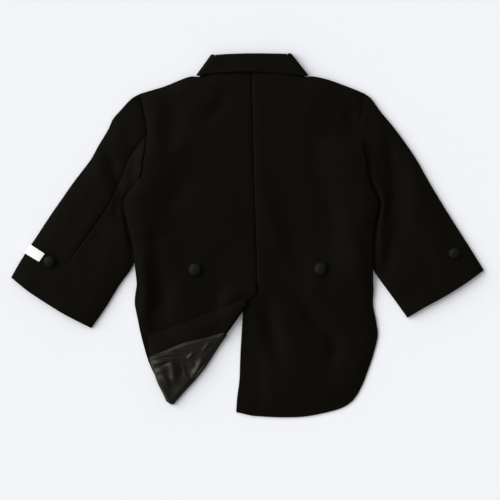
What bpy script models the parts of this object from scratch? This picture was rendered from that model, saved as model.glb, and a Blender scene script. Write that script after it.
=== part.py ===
"""A baby's tailcoat for white tie, laid flat with its back up and the left tail's corner folded over.

All sizes are in millimetres. The coat lies on the plane z = 0. The collar is at +Y and the tails
are at -Y. Left and right are as seen from above.
"""
import math

import bmesh
import bpy
from mathutils import Vector

MM = 0.001

# Cloth and sewing
CLOTH = 1.6          # wall of the wool cloth
THIN = 1.0           # wall of the lining, the facing and the label
SEAM = 0.3           # gap where two pieces are sewn edge to edge
LAYER = 0.5          # gap between cloth that lies on cloth
LAY = CLOTH + LAYER  # height that one more layer adds
ON_CLOTH = CLOTH / 2 + SEAM + THIN / 2   # from a panel's middle to that of a piece sewn on it

# Ease, the height that the cloth keeps over the layer beneath
BODY_EASE = 3.0
BODY_ROUND = 18.0    # distance from the side over which the back rounds up
SLEEVE_EASE = 2.7
SLEEVE_ROUND = 22.0
EDGE_RADIUS = 1.2    # of the fold along a sleeve's edge
SIDE_LIFT = 5.0      # of the body's side where it lies on the sleeve

CENTRE_X = 8.0       # centre front, under the back's seam
SHOULDER_Y = 156.0   # level of the shoulder points
UNDERARM_Y = 36.0
FLOOR_Y = (-132.0, -44.0)   # the tails come down to the surface between these levels

# Outlines of the back. Columns: x, y
CENTRE_SEAM = [(5, 184.5), (5, 160), (6.5, 94), (8, 39), (10, -16), (10.5, -62)]
LEFT_SHOULDER = [(-119, 156), (-104.5, 160), (-91.5, 164), (-73, 171.3), (-66, 174), (-61, 175.1),
                 (-57, 174.9), (-51.5, 174), (-46, 175), (-40, 178.2), (-30, 182), (-20, 184),
                 (5, 184.5)]
LEFT_ARMHOLE = [(-119, 156), (-115.5, 140.5), (-112, 125), (-111, 113), (-112.5, 94), (-116, 75.5),
                (-120, 63.5), (-127, 52), (-136.5, 38)]
LEFT_SIDE = [(-136.5, 38), (-133, 19.5), (-129, 3.5), (-125.5, -13.5), (-124, -30), (-122, -47),
             (-121.5, -54)]
LEFT_TAIL = [(-121.5, -54), (-123.7, -67), (-124, -76), (-120.5, -93.5), (-118, -106.5),
             (-111, -133), (-106, -146), (-99.2, -159.5), (-93, -171), (-87, -181.5)]
RIGHT_SHOULDER = [(5, 184.5), (30, 184), (40, 182), (50, 178.2), (56.5, 175), (62, 174),
                  (67.5, 174.9), (71.5, 175.1), (79.5, 173.6), (91.5, 170.5), (109.5, 164),
                  (128.5, 156.5)]
RIGHT_ARMHOLE = [(128.5, 156.5), (127, 140.5), (123, 120.5), (123, 98.5), (126.5, 82), (131, 68),
                 (137, 51), (144, 34)]
RIGHT_SIDE = [(144, 34), (140, 17), (137.5, 0), (137, -13.5), (137.5, -32.5), (138.5, -60)]
RIGHT_TAIL = [(138.5, -60), (138, -76.5), (141.5, -94), (143.5, -110), (138, -133), (128.5, -159.5),
              (122.5, -172.5), (116, -182)]
RIGHT_HEM = [(5, -198.6), (27.5, -200), (45, -200.3), (62.5, -199.5), (80, -196.5), (98, -192),
             (108, -187.8), (116, -182)]
CENTRE_TAIL = [(10.5, -62), (9, -110), (5, -198.6)]
UNDERLAP = [(-4.5, -64), (-5.5, -89.5), (-8, -133), (-9, -159.5), (-11.5, -179), (-12.5, -194.5)]

# The left tail's fold, from the top of the vent to the tip, read along s and outwards along q
FOLD_TOP = (10.5, -62.0)
FOLD_TIP = (-83.0, -187.0)
FOLD_LENGTH = 156.0
FOLD_FIRST = 14.0    # s at which the cloth begins to roll over
FOLD_RADIUS = 1.6
FOLD_SETTLE = 14.0   # distance over which the flap settles on the tail
# Columns: s, q of the fold's outer edge
FOLD_EDGE = [(0, 0.5), (38, 2.0), (71, 2.4), (101, 4.6), (119, 3.9), (137, 1.9), (156, 0.6)]
# Columns: s, q of the flap's free edges, the vent edge and then the hem
FLAP_VENT = [(0, -2.0), (11, -4.0), (87.4, -52.6), (110.2, -68)]
FLAP_HEM = [(110.2, -68), (128, -52.3), (143.6, -30.6), (151, -16.2), (156, -7)]
FACING_GAP = 0.6     # between the facing and the lining, along the flap
FACING_INSET = 1.0   # of the facing from the flap's vent edge
LINING_INSET = 1.6   # of the lining from the hem
FLAP_GAP = 0.15      # added to the gap between the flap and what is sewn on it
# Columns: s, q of the seam between the facing and the satin lining
FACING_SEAM = [(56, -1.5), (62.6, -6.9), (70.4, -12.3), (92.4, -30.8), (128, -51.7)]
ROLL_STEPS = 6
FLAP_ROWS = [FOLD_FIRST, 28, 42, 56, 70, 84, 97, 110.2, 119, 128, 136, 143.6, 150, 156]

# Sleeves. The head's last points lie under the body. Columns: x, y
LEFT_SLEEVE_HEAD = [(-121, 156.4), (-116.6, 140.5), (-112.9, 125), (-111.9, 113), (-113.3, 94),
                    (-115, 78), (-115, 62), (-112, 47)]
RIGHT_SLEEVE_HEAD = [(130.6, 157.2), (128.2, 140.5), (123.9, 120.5), (123.9, 98.5), (126.4, 82),
                     (127.5, 66), (125.5, 48)]
LEFT_SLEEVE_OUTER = [(-121, 156.4), (-128, 151), (-140.5, 137.5), (-148.5, 128.5), (-153, 118),
                     (-165, 98), (-172, 85), (-182, 71.5), (-192, 58.5), (-206, 38.5),
                     (-219.5, 19), (-232.5, -1), (-250, -27.5), (-260.5, -46)]
LEFT_SLEEVE_INNER = [(-112, 47), (-117, 24), (-120, 4), (-121, -12), (-123, -24),
                     (-127.5, -36), (-140.5, -54), (-156.5, -80), (-172, -102)]
LEFT_CUFF = [(-260.5, -46), (-242.5, -60.5), (-223, -73.5), (-201, -87), (-172, -102)]
RIGHT_SLEEVE_OUTER = [(130.6, 157.2), (136, 151.5), (146, 137.5), (157, 124.5), (167.5, 111),
                      (185.5, 85), (200.5, 58.5), (220.5, 25.5), (245.5, -14), (260.5, -38)]
RIGHT_SLEEVE_INNER = [(125.5, 48), (129.5, 28), (132, 8), (133, -10), (135, -27), (140.5, -41),
                      (149.5, -54), (162, -71), (176, -90.5)]
RIGHT_CUFF = [(260.5, -38), (238, -54), (217, -67), (193.5, -80), (176, -90.5)]
ELBOW_SEAM = 0.42    # share of the sleeve's width from its outer edge
FRONT_SEAM = 0.62    # the same, on the side that lies down
FOLD_GAPS = [0.25, 0.8, 1.5, 5, 12]   # distances of a sleeve's points from the fold of its edge
SLEEVE_ROWS = [0, 0.025, 0.08, 0.15, 0.23, 0.31, 0.39, 0.47, 0.55, 0.63, 0.71, 0.79, 0.87, 0.94, 1]

# Collar, seen from above. Columns: x, y
COLLAR_CREASE = [(-40.4, 198.8), (-26, 199.6), (1, 200.5), (30, 200.3), (48.4, 200)]
COLLAR_EDGE = [(-56.8, 176.2), (-38, 178.6), (2.5, 180), (46.5, 177.8), (67.3, 176.2)]
COLLAR_ENDS = (0.012, 0.988)   # shares of the crease between which the collar is folded
COLLAR_NECK_Y = 185.5
COLLAR_TOP = 8.4     # middle of the fall where it lies on the back
COLLAR_END_LEFT = ((-33, 152), (-60, 143))
COLLAR_END_RIGHT = ((43, 152), (71, 143))

# Fronts and lapels under the back. Columns: x, y
LEFT_FRONT_EDGE = [(-52, 173), (-36, 150), (-14, 90), (2, 32), (6.5, 0), (7, -72)]
RIGHT_FRONT_EDGE = [(62, 173), (48, 150), (28, 90), (14, 32), (9.5, 0), (9, -72)]
LEFT_LAPEL_EDGE = [(-66, 139), (-61, 112), (-45, 75), (-22, 45), (1, 24)]
RIGHT_LAPEL_EDGE = [(78, 139), (73, 112), (58, 75), (36, 45), (15, 24)]

# The largest folds. Columns: x and y of both ends, half width, height
BACK_FOLDS = [(-96, -30, -93, -98, 9, -1.6), (-110, -40, -112, -95, 7, 1.0),
              (-70, 150, -92, 95, 14, -0.8), (55, 60, 70, -10, 16, -0.9),
              (60, -75, 68, -100, 9, 0.9), (33, -115, 28, -145, 8, 1.1), (100, -95, 92, -150, 9, 1.2)]
SLEEVE_FOLDS = [(160, 94, 153, 45, 8, -1.9), (153, 45, 142, -26, 7, -1.7),
                (-150, 75, -157, 45, 7, -1.0), (-133, 45, -140, 10, 9, 0.4),
                (205, 10, 190, -35, 10, -0.7), (-205, -10, -190, -50, 10, -0.7)]

# Covered buttons. Columns: name, x, y, diameter
BUTTONS = [("button_back_left", -57.5, -37.5, 14.6), ("button_back_right", 80.5, -36.5, 14.6),
           ("button_sleeve_left", -217.5, -28.5, 12.6), ("button_sleeve_right", 227.0, -19.5, 12.2)]
# Profile of a button of radius 1. Columns: radius, height
BUTTON_PROFILE = [(0, 0), (0.4, 0), (0.86, 0.14), (1, 0.34), (0.9, 0.56), (0.62, 0.74), (0.3, 0.82),
                  (0, 0.84)]
BUTTON_SIDES = 18

LABEL_SPAN = (0.83, 0.876)    # shares of the left sleeve's length
LABEL_REACH = 0.165           # share of its width, from the outer edge
LABEL_SLANT = 0.1             # share of the length that it rises over the whole width
LABEL_GAPS = [0, 0.25, 0.8, 1.5, 3.5]   # distances of its points from the outer edge

# Colours as red, green, blue in linear light, roughness
BLACK_CLOTH = ((0.0065, 0.0058, 0.0050), 0.9)
SATIN = ((0.020, 0.018, 0.015), 0.45)
COVERED = ((0.012, 0.014, 0.011), 0.7)
WOVEN_LABEL = ((0.62, 0.61, 0.57), 0.8)


def ease(low, high, value):
    """Smooth step from 0 at low to 1 at high."""
    share = min(max((value - low) / (high - low), 0.0), 1.0)
    return share * share * (3.0 - 2.0 * share)


def rounded(share):
    """Quarter round from 0 to 1, level from 1 onwards."""
    return 1.0 - (1.0 - min(max(share, 0.0), 1.0)) ** 2


def smooth(table):
    """Smooth curve through a table's points, read by the share of its length."""
    points = [Vector(row[:2]) for row in table]
    reach = [0.0]
    for start, end in zip(points, points[1:]):
        reach.append(reach[-1] + (end - start).length)

    def at(share):
        length = min(max(share, 0.0), 1.0) * reach[-1]
        k = max(i for i in range(len(points) - 1) if reach[i] <= length or i == 0)
        span = reach[k + 1] - reach[k]
        t = (length - reach[k]) / span
        before, after = points[max(k - 1, 0)], points[min(k + 2, len(points) - 1)]
        a, b = points[k], points[k + 1]
        slope_a = (b - before) / (span + (a - before).length) * span
        slope_b = (after - a) / (span + (after - b).length) * span
        return (a * (2 * t**3 - 3 * t**2 + 1) + slope_a * (t**3 - 2 * t**2 + t)
                + b * (3 * t**2 - 2 * t**3) + slope_b * (t**3 - t**2))

    return at


def reading(table, key=0):
    """Straight reading of a table's other column where its key column reaches a value."""
    rows = sorted(table, key=lambda row: row[key])

    def at(value):
        if value <= rows[0][key]:
            return rows[0][1 - key]
        for low, high in zip(rows, rows[1:]):
            if value <= high[key]:
                share = (value - low[key]) / (high[key] - low[key])
                return low[1 - key] + (high[1 - key] - low[1 - key]) * share
        return rows[-1][1 - key]

    return at


LEFT_EDGE = reading(LEFT_ARMHOLE + LEFT_SIDE[1:] + LEFT_TAIL[1:], 1)
RIGHT_EDGE = reading(RIGHT_ARMHOLE + RIGHT_SIDE[1:] + RIGHT_TAIL[1:], 1)
SHOULDERS = reading(LEFT_SHOULDER + RIGHT_SHOULDER[1:])
FOLD_Q = reading(FOLD_EDGE)
VENT_Q = reading(FLAP_VENT)
HEM_Q = reading(FLAP_HEM)
FACING_Q = reading(FACING_SEAM)


def chain(*parts):
    """One curve from several, each given with the share at which it ends."""
    def at(share):
        start = 0.0
        for curve, end in parts:
            if share <= end or end == parts[-1][1]:
                return curve((share - start) / (end - start))
            start = end

    return at


def patch(left, right, top, bottom):
    """Surface in the plane between two side curves, bowed as the curves at its ends are."""
    def bow(curve, u):
        return curve(u) - (curve(0) * (1 - u) + curve(1) * u)

    def at(u, v):
        return left(v) * (1 - u) + right(v) * u + bow(top, u) * (1 - v) + bow(bottom, u) * v

    return at


def straight(start, end):
    """Straight edge between two points."""
    start, end = Vector(start), Vector(end)
    return lambda share: start + (end - start) * share


def drawn_in(curve, other, distance):
    """Curve moved square to itself towards another curve."""
    def at(share):
        before, after = curve(max(share - 0.01, 0.0)), curve(min(share + 0.01, 1.0))
        along = (after - before).normalized()
        side = Vector((-along.y, along.x))
        if side.dot(other(share) - curve(share)) < 0:
            side = -side
        return curve(share) + side * distance

    return at


def folds(table, x, y):
    """Height of a table's soft troughs and ridges at a point."""
    height = 0.0
    for x0, y0, x1, y1, width, rise in table:
        start, run = Vector((x0, y0)), Vector((x1 - x0, y1 - y0))
        away = Vector((x, y)) - start
        share = min(max(away.dot(run) / run.length_squared, 0.0), 1.0)
        gap = (away - run * share).length / width
        height += rise * math.exp(-gap * gap)
    return height


def inset(x, y):
    """Distance in from the body's side."""
    if x < CENTRE_X:
        return x - LEFT_EDGE(y)
    return RIGHT_EDGE(y) - x


def side_lift(x, y):
    """Rise of the body's side over the sleeve's inner edge."""
    return SIDE_LIFT * ease(-64, -40, y) * ease(116, 86, y) * ease(46, 27, inset(x, y))


def front_height(x, y):
    """Middle of a front, which lies on the surface and on its lapel."""
    lapel = ease(92, 78, abs(x - CENTRE_X)) * ease(-8, 12, y)
    return CLOTH / 2 + LAY * lapel + side_lift(x, y)


def armhole_rise(y):
    """Share of the ease that the back keeps along its armhole."""
    share = (SHOULDER_Y - y) / (SHOULDER_Y - UNDERARM_Y)
    return math.sin(math.pi * min(max(share, 0.0), 1.0))


def back_height(x, y):
    """Middle of the back and tails."""
    from_shoulder = SHOULDERS(x) - y
    from_side = rounded(inset(x, y) / BODY_ROUND)
    full = 1.0 - (1.0 - from_side) * (1.0 - armhole_rise(y))
    worn = ease(*FLOOR_Y, y)
    crown = BODY_EASE * full * (0.1 + 0.9 * rounded(from_shoulder / BODY_ROUND))
    soft = min(from_side, 1.0) * ease(0, 20, from_shoulder)
    fold = folds(BACK_FOLDS, x, y) * soft
    return front_height(x, y) + worn * (LAY + crown) + (fold if worn > 0.5 else max(fold, 0.0))


def left_back_height(x, y):
    """The same for the left side, which lies on the right tail's underlap below the seam."""
    return back_height(x, y) + (LAY + SEAM) * ease(-34, -16, x) * ease(-46, -61, y)


class Sheet:
    """Points and faces of one piece of cloth. Grids that meet along an edge share its points."""

    def __init__(self):
        self.points = []
        self.faces = []
        self.known = {}

    def index(self, point):
        """Number of a point, which is added the first time."""
        key = tuple(round(value, 3) for value in point)
        if key not in self.known:
            self.known[key] = len(self.points)
            self.points.append(Vector(point))
        return self.known[key]

    def grid(self, rows):
        """Faces between rows of points."""
        numbers = [[self.index(point) for point in row] for row in rows]
        for upper, lower in zip(numbers, numbers[1:]):
            for j in range(len(upper) - 1):
                self.faces.append((upper[j], lower[j], lower[j + 1], upper[j + 1]))

    def wall(self, thickness):
        """Closed wall: the sheet moved both ways along its normals, with a rim."""
        sheet = bmesh.new()
        verts = [sheet.verts.new(point) for point in self.points]
        for face in self.faces:
            sheet.faces.new([verts[number] for number in face])
        sheet.normal_update()
        solid = bmesh.new()
        half = thickness / 2
        above = {vert: solid.verts.new((vert.co + vert.normal * half) * MM) for vert in verts}
        below = {vert: solid.verts.new((vert.co - vert.normal * half) * MM) for vert in verts}
        for face in sheet.faces:
            solid.faces.new([above[vert] for vert in face.verts])
            solid.faces.new([below[vert] for vert in reversed(face.verts)])
        for edge in sheet.edges:
            if edge.is_boundary:
                loop = edge.link_loops[0]
                a, b = loop.vert, loop.link_loop_next.vert
                solid.faces.new((above[b], above[a], below[a], below[b]))
        sheet.free()
        bmesh.ops.recalc_face_normals(solid, faces=solid.faces)
        return solid


def material(name, finish):
    """Material of one piece."""
    colour, roughness = finish
    made = bpy.data.materials.new(name)
    made.use_nodes = True
    shader = made.node_tree.nodes["Principled BSDF"]
    shader.inputs["Base Color"].default_value = (*colour, 1)
    shader.inputs["Roughness"].default_value = roughness
    shader.inputs["Metallic"].default_value = 0.0
    return made


def add_object(name, shape, finish):
    """Named object from a bmesh."""
    mesh = bpy.data.meshes.new(name)
    shape.to_mesh(mesh)
    shape.free()
    mesh.shade_smooth()
    mesh.set_sharp_from_angle(angle=math.radians(50))
    mesh.materials.append(material(name, finish))
    piece = bpy.data.objects.new(name, mesh)
    bpy.context.scene.collection.objects.link(piece)
    return piece


def lifted(plan, height, columns, rows):
    """Rows of points on a patch of the plane, raised by a height function."""
    made = []
    for v in rows:
        flat = [plan(u, v) for u in columns]
        made.append([Vector((p.x, p.y, height(p.x, p.y))) for p in flat])
    return made


def steps(count, start=0.0, end=1.0):
    """Evenly spaced shares."""
    return [start + (end - start) * i / count for i in range(count + 1)]


ARMHOLE_SHARE = 0.32   # of a back panel's rows, down to the underarm
WAIST_SHARE = 0.56     # down to the waist
SEAM_AT_UNDERARM = 0.55     # share of the centre seam that ends at the underarm
FRONT_ARMHOLE_SHARE = 0.55  # of a front's rows, down to the underarm
LAPEL_ROLL = (0.12, 0.64)   # shares of the front's edge between which the lapel is turned back
ACROSS = [0, 0.035, 0.09, 0.16, 0.25, 0.36, 0.44, 0.475, 0.505, 0.54, 0.61, 0.74, 0.87, 1.0]
BODY_ROWS = steps(12, 0, ARMHOLE_SHARE) + steps(8, ARMHOLE_SHARE, WAIST_SHARE)[1:]


def fold_frame():
    """Top of the fold, its direction down the tail and its direction outwards."""
    top, tip = Vector(FOLD_TOP), Vector(FOLD_TIP)
    along = (tip - top).normalized()
    return top, along, Vector((-along.y, along.x))


def fold_start(s):
    """Outward place at which the cloth starts to roll over, which leaves the seam at s = 0."""
    whole = FOLD_Q(max(s, FOLD_FIRST)) - FOLD_RADIUS - CLOTH / 2 - SEAM - THIN
    return whole * min(s / FOLD_FIRST, 1.0)


def tail_point(s, q, rolled):
    """Point of the left tail beside its fold.

    Before the roll q is read on the tail, with rolled at 0. Within the roll rolled goes from 0 to 1.
    On the flap q is read as seen from above, with rolled at 1.
    """
    top, along, out = fold_frame()
    start = fold_start(s)
    turn = math.pi * rolled
    place = q if rolled in (0, 1) else start
    place += FOLD_RADIUS * math.sin(turn)
    spot = top + along * s + out * place
    base = left_back_height(spot.x, spot.y)
    if rolled < 1:
        return Vector((*spot, base + FOLD_RADIUS * (1 - math.cos(turn))))
    settle = ease(0, FOLD_SETTLE, start - q)
    return Vector((*spot, base + 2 * FOLD_RADIUS * (1 - settle) + LAY * settle))


def flap_edge(s):
    """Free edge of the flap as seen from above."""
    return VENT_Q(s) if s < FLAP_VENT[-1][0] else HEM_Q(s)


def body_seam(gap):
    """Centre seam down to the underarm and on to the waist, moved aside by a gap."""
    seam, aside = smooth(CENTRE_SEAM), Vector((gap, 0))

    def upper(share):
        return seam(share * SEAM_AT_UNDERARM) + aside

    def lower(share):
        return seam(SEAM_AT_UNDERARM + share * (1 - SEAM_AT_UNDERARM)) + aside

    return (upper, ARMHOLE_SHARE), (lower, WAIST_SHARE)


def build_back_left():
    """Left back with its tail, and the tail's corner folded over as a flap."""
    top, along, out = fold_frame()

    def fold(share):
        s = share * FOLD_LENGTH
        return top + along * s + out * fold_start(s)

    middle = chain(*body_seam(-SEAM / 2), (fold, 1))
    side = chain((smooth(LEFT_ARMHOLE), ARMHOLE_SHARE), (smooth(LEFT_SIDE), WAIST_SHARE),
                 (smooth(LEFT_TAIL), 1))
    plan = patch(side, middle, smooth(LEFT_SHOULDER), straight(side(1), middle(1)))
    rows = BODY_ROWS + [WAIST_SHARE + (1 - WAIST_SHARE) * s / FOLD_LENGTH for s in FLAP_ROWS]
    sheet = Sheet()
    sheet.grid(lifted(plan, left_back_height, ACROSS, rows))
    flap = []
    for s in FLAP_ROWS:
        first, last = fold_start(s), flap_edge(s)
        roll = [tail_point(s, first, share) for share in steps(ROLL_STEPS)]
        flat = [tail_point(s, first + (last - first) * share, 1) for share in steps(6)[1:]]
        flap.append(roll + flat)
    sheet.grid(flap)
    add_object("back_left", sheet.wall(CLOTH), BLACK_CLOTH)


def build_back_right():
    """Right back with its tail and the underlap of the vent."""
    tail, aside = smooth(CENTRE_TAIL), Vector((SEAM / 2, 0))
    middle = chain(*body_seam(SEAM / 2), (lambda share: tail(share) + aside, 1))
    side = chain((smooth(RIGHT_ARMHOLE), ARMHOLE_SHARE), (smooth(RIGHT_SIDE), WAIST_SHARE),
                 (smooth(RIGHT_TAIL), 1))
    plan = patch(middle, side, smooth(RIGHT_SHOULDER), smooth(RIGHT_HEM))
    tail_rows = steps(11, WAIST_SHARE, 1)
    columns = [1 - u for u in reversed(ACROSS)]
    sheet = Sheet()
    sheet.grid(lifted(plan, back_height, columns, BODY_ROWS + tail_rows[1:]))
    vent = smooth(UNDERLAP)
    strip = []
    for v in tail_rows:
        start, end = vent((v - WAIST_SHARE) / (1 - WAIST_SHARE)), plan(0, v)
        flat = [start.lerp(end, share) for share in steps(2)]
        strip.append([Vector((p.x, p.y, back_height(p.x, p.y))) for p in flat])
    sheet.grid(strip)
    add_object("back_right", sheet.wall(CLOTH), BLACK_CLOTH)


def build_front(name, armhole, side, edge):
    """Front under the back, cut away at the waist."""
    edge = smooth(edge)
    outer = chain((smooth(armhole), FRONT_ARMHOLE_SHARE), (smooth(side), 1))
    plan = patch(outer, edge, straight(outer(0), edge(0)), straight(outer(1), edge(1)))
    rows = steps(9, 0, FRONT_ARMHOLE_SHARE) + steps(8, FRONT_ARMHOLE_SHARE, 1)[1:]
    columns = [0, 0.05, 0.12, 0.22, 0.34, 0.48, 0.64, 0.82, 1.0]
    sheet = Sheet()
    sheet.grid(lifted(plan, front_height, columns, rows))
    add_object(name, sheet.wall(CLOTH), BLACK_CLOTH)


def build_lapel(name, edge, front_edge):
    """Lapel turned back on the front, on the side that lies down."""
    outer, inner = smooth(edge), smooth(front_edge)
    start, end = LAPEL_ROLL

    def roll(share):
        return inner(start + (end - start) * share)

    plan = patch(outer, roll, straight(outer(0), roll(0)), straight(outer(1), roll(1)))
    sheet = Sheet()
    sheet.grid(lifted(plan, lambda x, y: CLOTH / 2, steps(4), steps(8)))
    add_object(name, sheet.wall(CLOTH), BLACK_CLOTH)


def collar_strip(share, across):
    """Point in the plane of the collar's fall, from its crease to its outer edge."""
    return smooth(COLLAR_CREASE)(share).lerp(smooth(COLLAR_EDGE)(share), across)


def build_collar():
    """Collar: stand, crease and fall, whose ends pass round the neck to the front."""
    low, high = CLOTH / 2, COLLAR_TOP
    turn_radius = (high - low) / 2
    stand = back_height(CENTRE_X, COLLAR_NECK_Y)
    crease_radius = (high - stand) / 2
    turn, front = steps(5), steps(4)
    middle = [0.0] + steps(10, *COLLAR_ENDS) + [1.0]

    def turned(side, across, share):
        """Point of the turn round the neck, on a half circle from the fall to the front end."""
        edge = collar_strip(side, across)
        out = 1 if side else -1
        angle = math.pi * share
        x = edge.x + out * (turn_radius * (math.sin(angle) - 1) - CLOTH / 2)
        return Vector((x, edge.y, low + turn_radius * (1 + math.cos(angle))))

    rows = []
    for across in [0.0, 0.15, 0.4, 0.7, 1.0]:
        left_top, right_top = turned(0, across, 0), turned(1, across, 0)
        back = [left_top]
        for share in middle[1:-1]:
            spot = collar_strip(share, across)
            shift = left_top.x - collar_strip(0, across).x
            shift *= 1 - ease(0, 0.25, min(share, 1 - share))
            spot.x += shift if share < 0.5 else -shift
            drop = (crease_radius + CLOTH / 2) * (1 - across)
            back.append(Vector((spot.x, spot.y - drop, high)))
        back.append(right_top)
        ends = []
        for side, (near, far) in enumerate((COLLAR_END_LEFT, COLLAR_END_RIGHT)):
            curve = [turned(side, across, share) for share in turn]
            end = Vector((*Vector(near).lerp(Vector(far), across), low))
            ends.append(curve[1:] + [curve[-1].lerp(end, share) for share in front[1:]])
        rows.append(ends[0][::-1] + back + ends[1])
    sheet = Sheet()
    sheet.grid(rows)

    first = len(turn) + len(front) - 1
    crease = rows[0][first:first + len(middle) - 2]
    hairpin = [crease]
    for share in steps(4)[1:]:
        angle = math.pi * share
        hairpin.append([Vector((p.x, p.y + crease_radius * math.sin(angle),
                                high - crease_radius * (1 - math.cos(angle)))) for p in crease])
    last = hairpin[-1]
    for share in steps(2)[1:]:
        hairpin.append([Vector((p.x, p.y + (COLLAR_NECK_Y + SEAM - p.y) * share, p.z)) for p in last])
    sheet.grid(hairpin[::-1])
    add_object("collar", sheet.wall(CLOTH), BLACK_CLOTH)


class Sleeve:
    """Sleeve laid flat: a tube pressed to two layers, read along its length and round it."""

    def __init__(self, head, outer, inner, cuff):
        outer, inner = smooth(outer), smooth(inner)
        self.outer = drawn_in(outer, inner, CLOTH / 2)
        self.inner = drawn_in(inner, outer, CLOTH / 2)
        self.head = smooth(head)
        self.plan = patch(self.outer, self.inner, self.head, smooth(cuff))

    def scale(self, fold, v):
        """Distance from an edge for each whole turn. Fold 1 is the inner edge, 0 or 2 the outer."""
        small = 0.02
        edge, at_edge, beside = ((self.inner, 1, 1 - small) if fold == 1 else (self.outer, 0, small))
        along = (edge(min(v + small, 1.0)) - edge(max(v - small, 0.0))).normalized()
        return abs(along.cross(self.plan(beside, v) - self.plan(at_edge, v))) / small

    def height(self, u, v, upper):
        """Middle of the upper or lower layer."""
        near = min(u * self.scale(0, v), (1 - u) * self.scale(1, v))
        flat = min(near / EDGE_RADIUS, 1.0)
        half = EDGE_RADIUS * math.sqrt(max(1 - (1 - flat) ** 2, 0.0))
        centre = CLOTH / 2 + EDGE_RADIUS
        if not upper:
            return centre - half
        spot = self.plan(u, v)
        rise = rounded(near / SLEEVE_ROUND)
        free = centre + half + (SLEEVE_EASE + folds(SLEEVE_FOLDS, spot.x, spot.y)) * rise
        sewn = self.head(u)
        sewn_height = back_height(sewn.x, sewn.y)
        sewn_height += (centre + half - sewn_height) * ease(0.06, 0.0, u)
        full = sewn_height + (free - sewn_height) * ease(0.0, 0.16, v)
        clear = max(ease(2, 13, -inset(spot.x, spot.y)), ease(0.6, 0.42, u))
        return centre + half + (full - centre - half) * clear

    def point(self, turn, v):
        """Point of the tube. Turn is 0 to 1 over the upper layer, 1 to 2 back under it."""
        turn %= 2
        upper = turn <= 1
        u = turn if upper else 2 - turn
        spot = self.plan(u, v)
        return Vector((spot.x, spot.y, self.height(u, v, upper)))

    def row(self, fold, first, last, v):
        """Points from one seam to the next, close together round the fold between them."""
        scale = self.scale(fold, v)
        gaps = [gap / scale for gap in FOLD_GAPS]
        first, last = first + SEAM / 2 / scale, last - SEAM / 2 / scale
        before, after = [fold - gap for gap in reversed(gaps)], [fold + gap for gap in gaps]
        turns = steps(4, first, before[0])[:-1] + before + [fold] + after
        turns += steps(4, after[-1], last)[1:]
        return [self.point(turn, v) for turn in turns]

    def piece(self, name, fold, first, last):
        """One sewn piece of the tube."""
        sheet = Sheet()
        sheet.grid([self.row(fold, first, last, v) for v in SLEEVE_ROWS])
        add_object(name, sheet.wall(CLOTH), BLACK_CLOTH)


def build_sleeve(sleeve, side):
    """Top sleeve round the outer edge and under sleeve round the inner edge."""
    sleeve.piece("sleeve_top_" + side, 0, -FRONT_SEAM, ELBOW_SEAM)
    sleeve.piece("sleeve_under_" + side, 1, ELBOW_SEAM, 2 - FRONT_SEAM)


def build_label(sleeve):
    """Woven label wrapped round the outer edge of the left sleeve."""
    def slanted(turn, v):
        """Point of the sleeve, moved up it towards the middle of its width."""
        return sleeve.point(turn, v - LABEL_SLANT * turn)

    rows = []
    for v in steps(3, *LABEL_SPAN):
        gaps = [gap / sleeve.scale(0, v) for gap in LABEL_GAPS]
        turns = gaps + [LABEL_REACH * share for share in (0.6, 1.0)]
        row = [slanted(turn, v) for turn in turns]
        moved = []
        for k, spot in enumerate(row):
            before, after = row[max(k - 1, 0)], row[min(k + 1, len(row) - 1)]
            along = slanted(turns[k], v - 0.01) - slanted(turns[k], v + 0.01)
            moved.append(spot + (after - before).cross(along).normalized() * ON_CLOTH)
        rows.append(moved)
    sheet = Sheet()
    sheet.grid(rows)
    add_object("sleeve_label", sheet.wall(THIN), WOVEN_LABEL)


def flap_sheet(name, starts, ends, rows, rolled_shares, finish):
    """Piece sewn on the flap, made from the flap's points moved out to its lining side."""
    out = fold_frame()[2]
    sheet_rows = []
    for s in rows:
        first, last = starts(s), ends(s)
        places = [(share, first) for share in rolled_shares]
        places += [(1, first + (last - first) * share) for share in steps(7)]
        row = []
        for rolled, q in places:
            turn = math.pi * rolled
            normal = Vector((out.x * math.sin(turn), out.y * math.sin(turn), -math.cos(turn)))
            if rolled == 1:
                across = tail_point(s, q - 0.5, 1) - tail_point(s, q + 0.5, 1)
                along = tail_point(s + 0.5, q, 1) - tail_point(s - 0.5, q, 1)
                normal = across.cross(along).normalized()
                normal = normal if normal.z > 0 else -normal
            row.append(tail_point(s, q, rolled) + normal * (ON_CLOTH + FLAP_GAP))
        sheet_rows.append(row)
    sheet = Sheet()
    sheet.grid(sheet_rows)
    add_object(name, sheet.wall(THIN), finish)


def build_flap_linings():
    """Facing along the vent edge and satin lining below it, both on the folded corner."""
    seam_top, seam_end = FACING_SEAM[0][0], FACING_SEAM[-1][0]
    facing_rows = [FOLD_FIRST, 22, 30, 42, 56, 63, 70, 84, 97, 110.2, 119, 125.5]
    flap_sheet("vent_facing_left",
               lambda s: (fold_start(s) if s <= seam_top else FACING_Q(s)) - FACING_GAP,
               lambda s: flap_edge(s) + FACING_INSET, facing_rows, [], BLACK_CLOTH)
    lining_rows = [57.5, 63, 70, 84, 97, 110.2, 119, 125.5, 129, 136, 143.6, 150, 154.5]
    rolled = [share for share in steps(ROLL_STEPS) if 0.5 <= share < 1]
    flap_sheet("tail_lining_left", fold_start,
               lambda s: FACING_Q(s) if s < seam_end else flap_edge(s) + LINING_INSET,
               lining_rows, rolled, SATIN)


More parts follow.
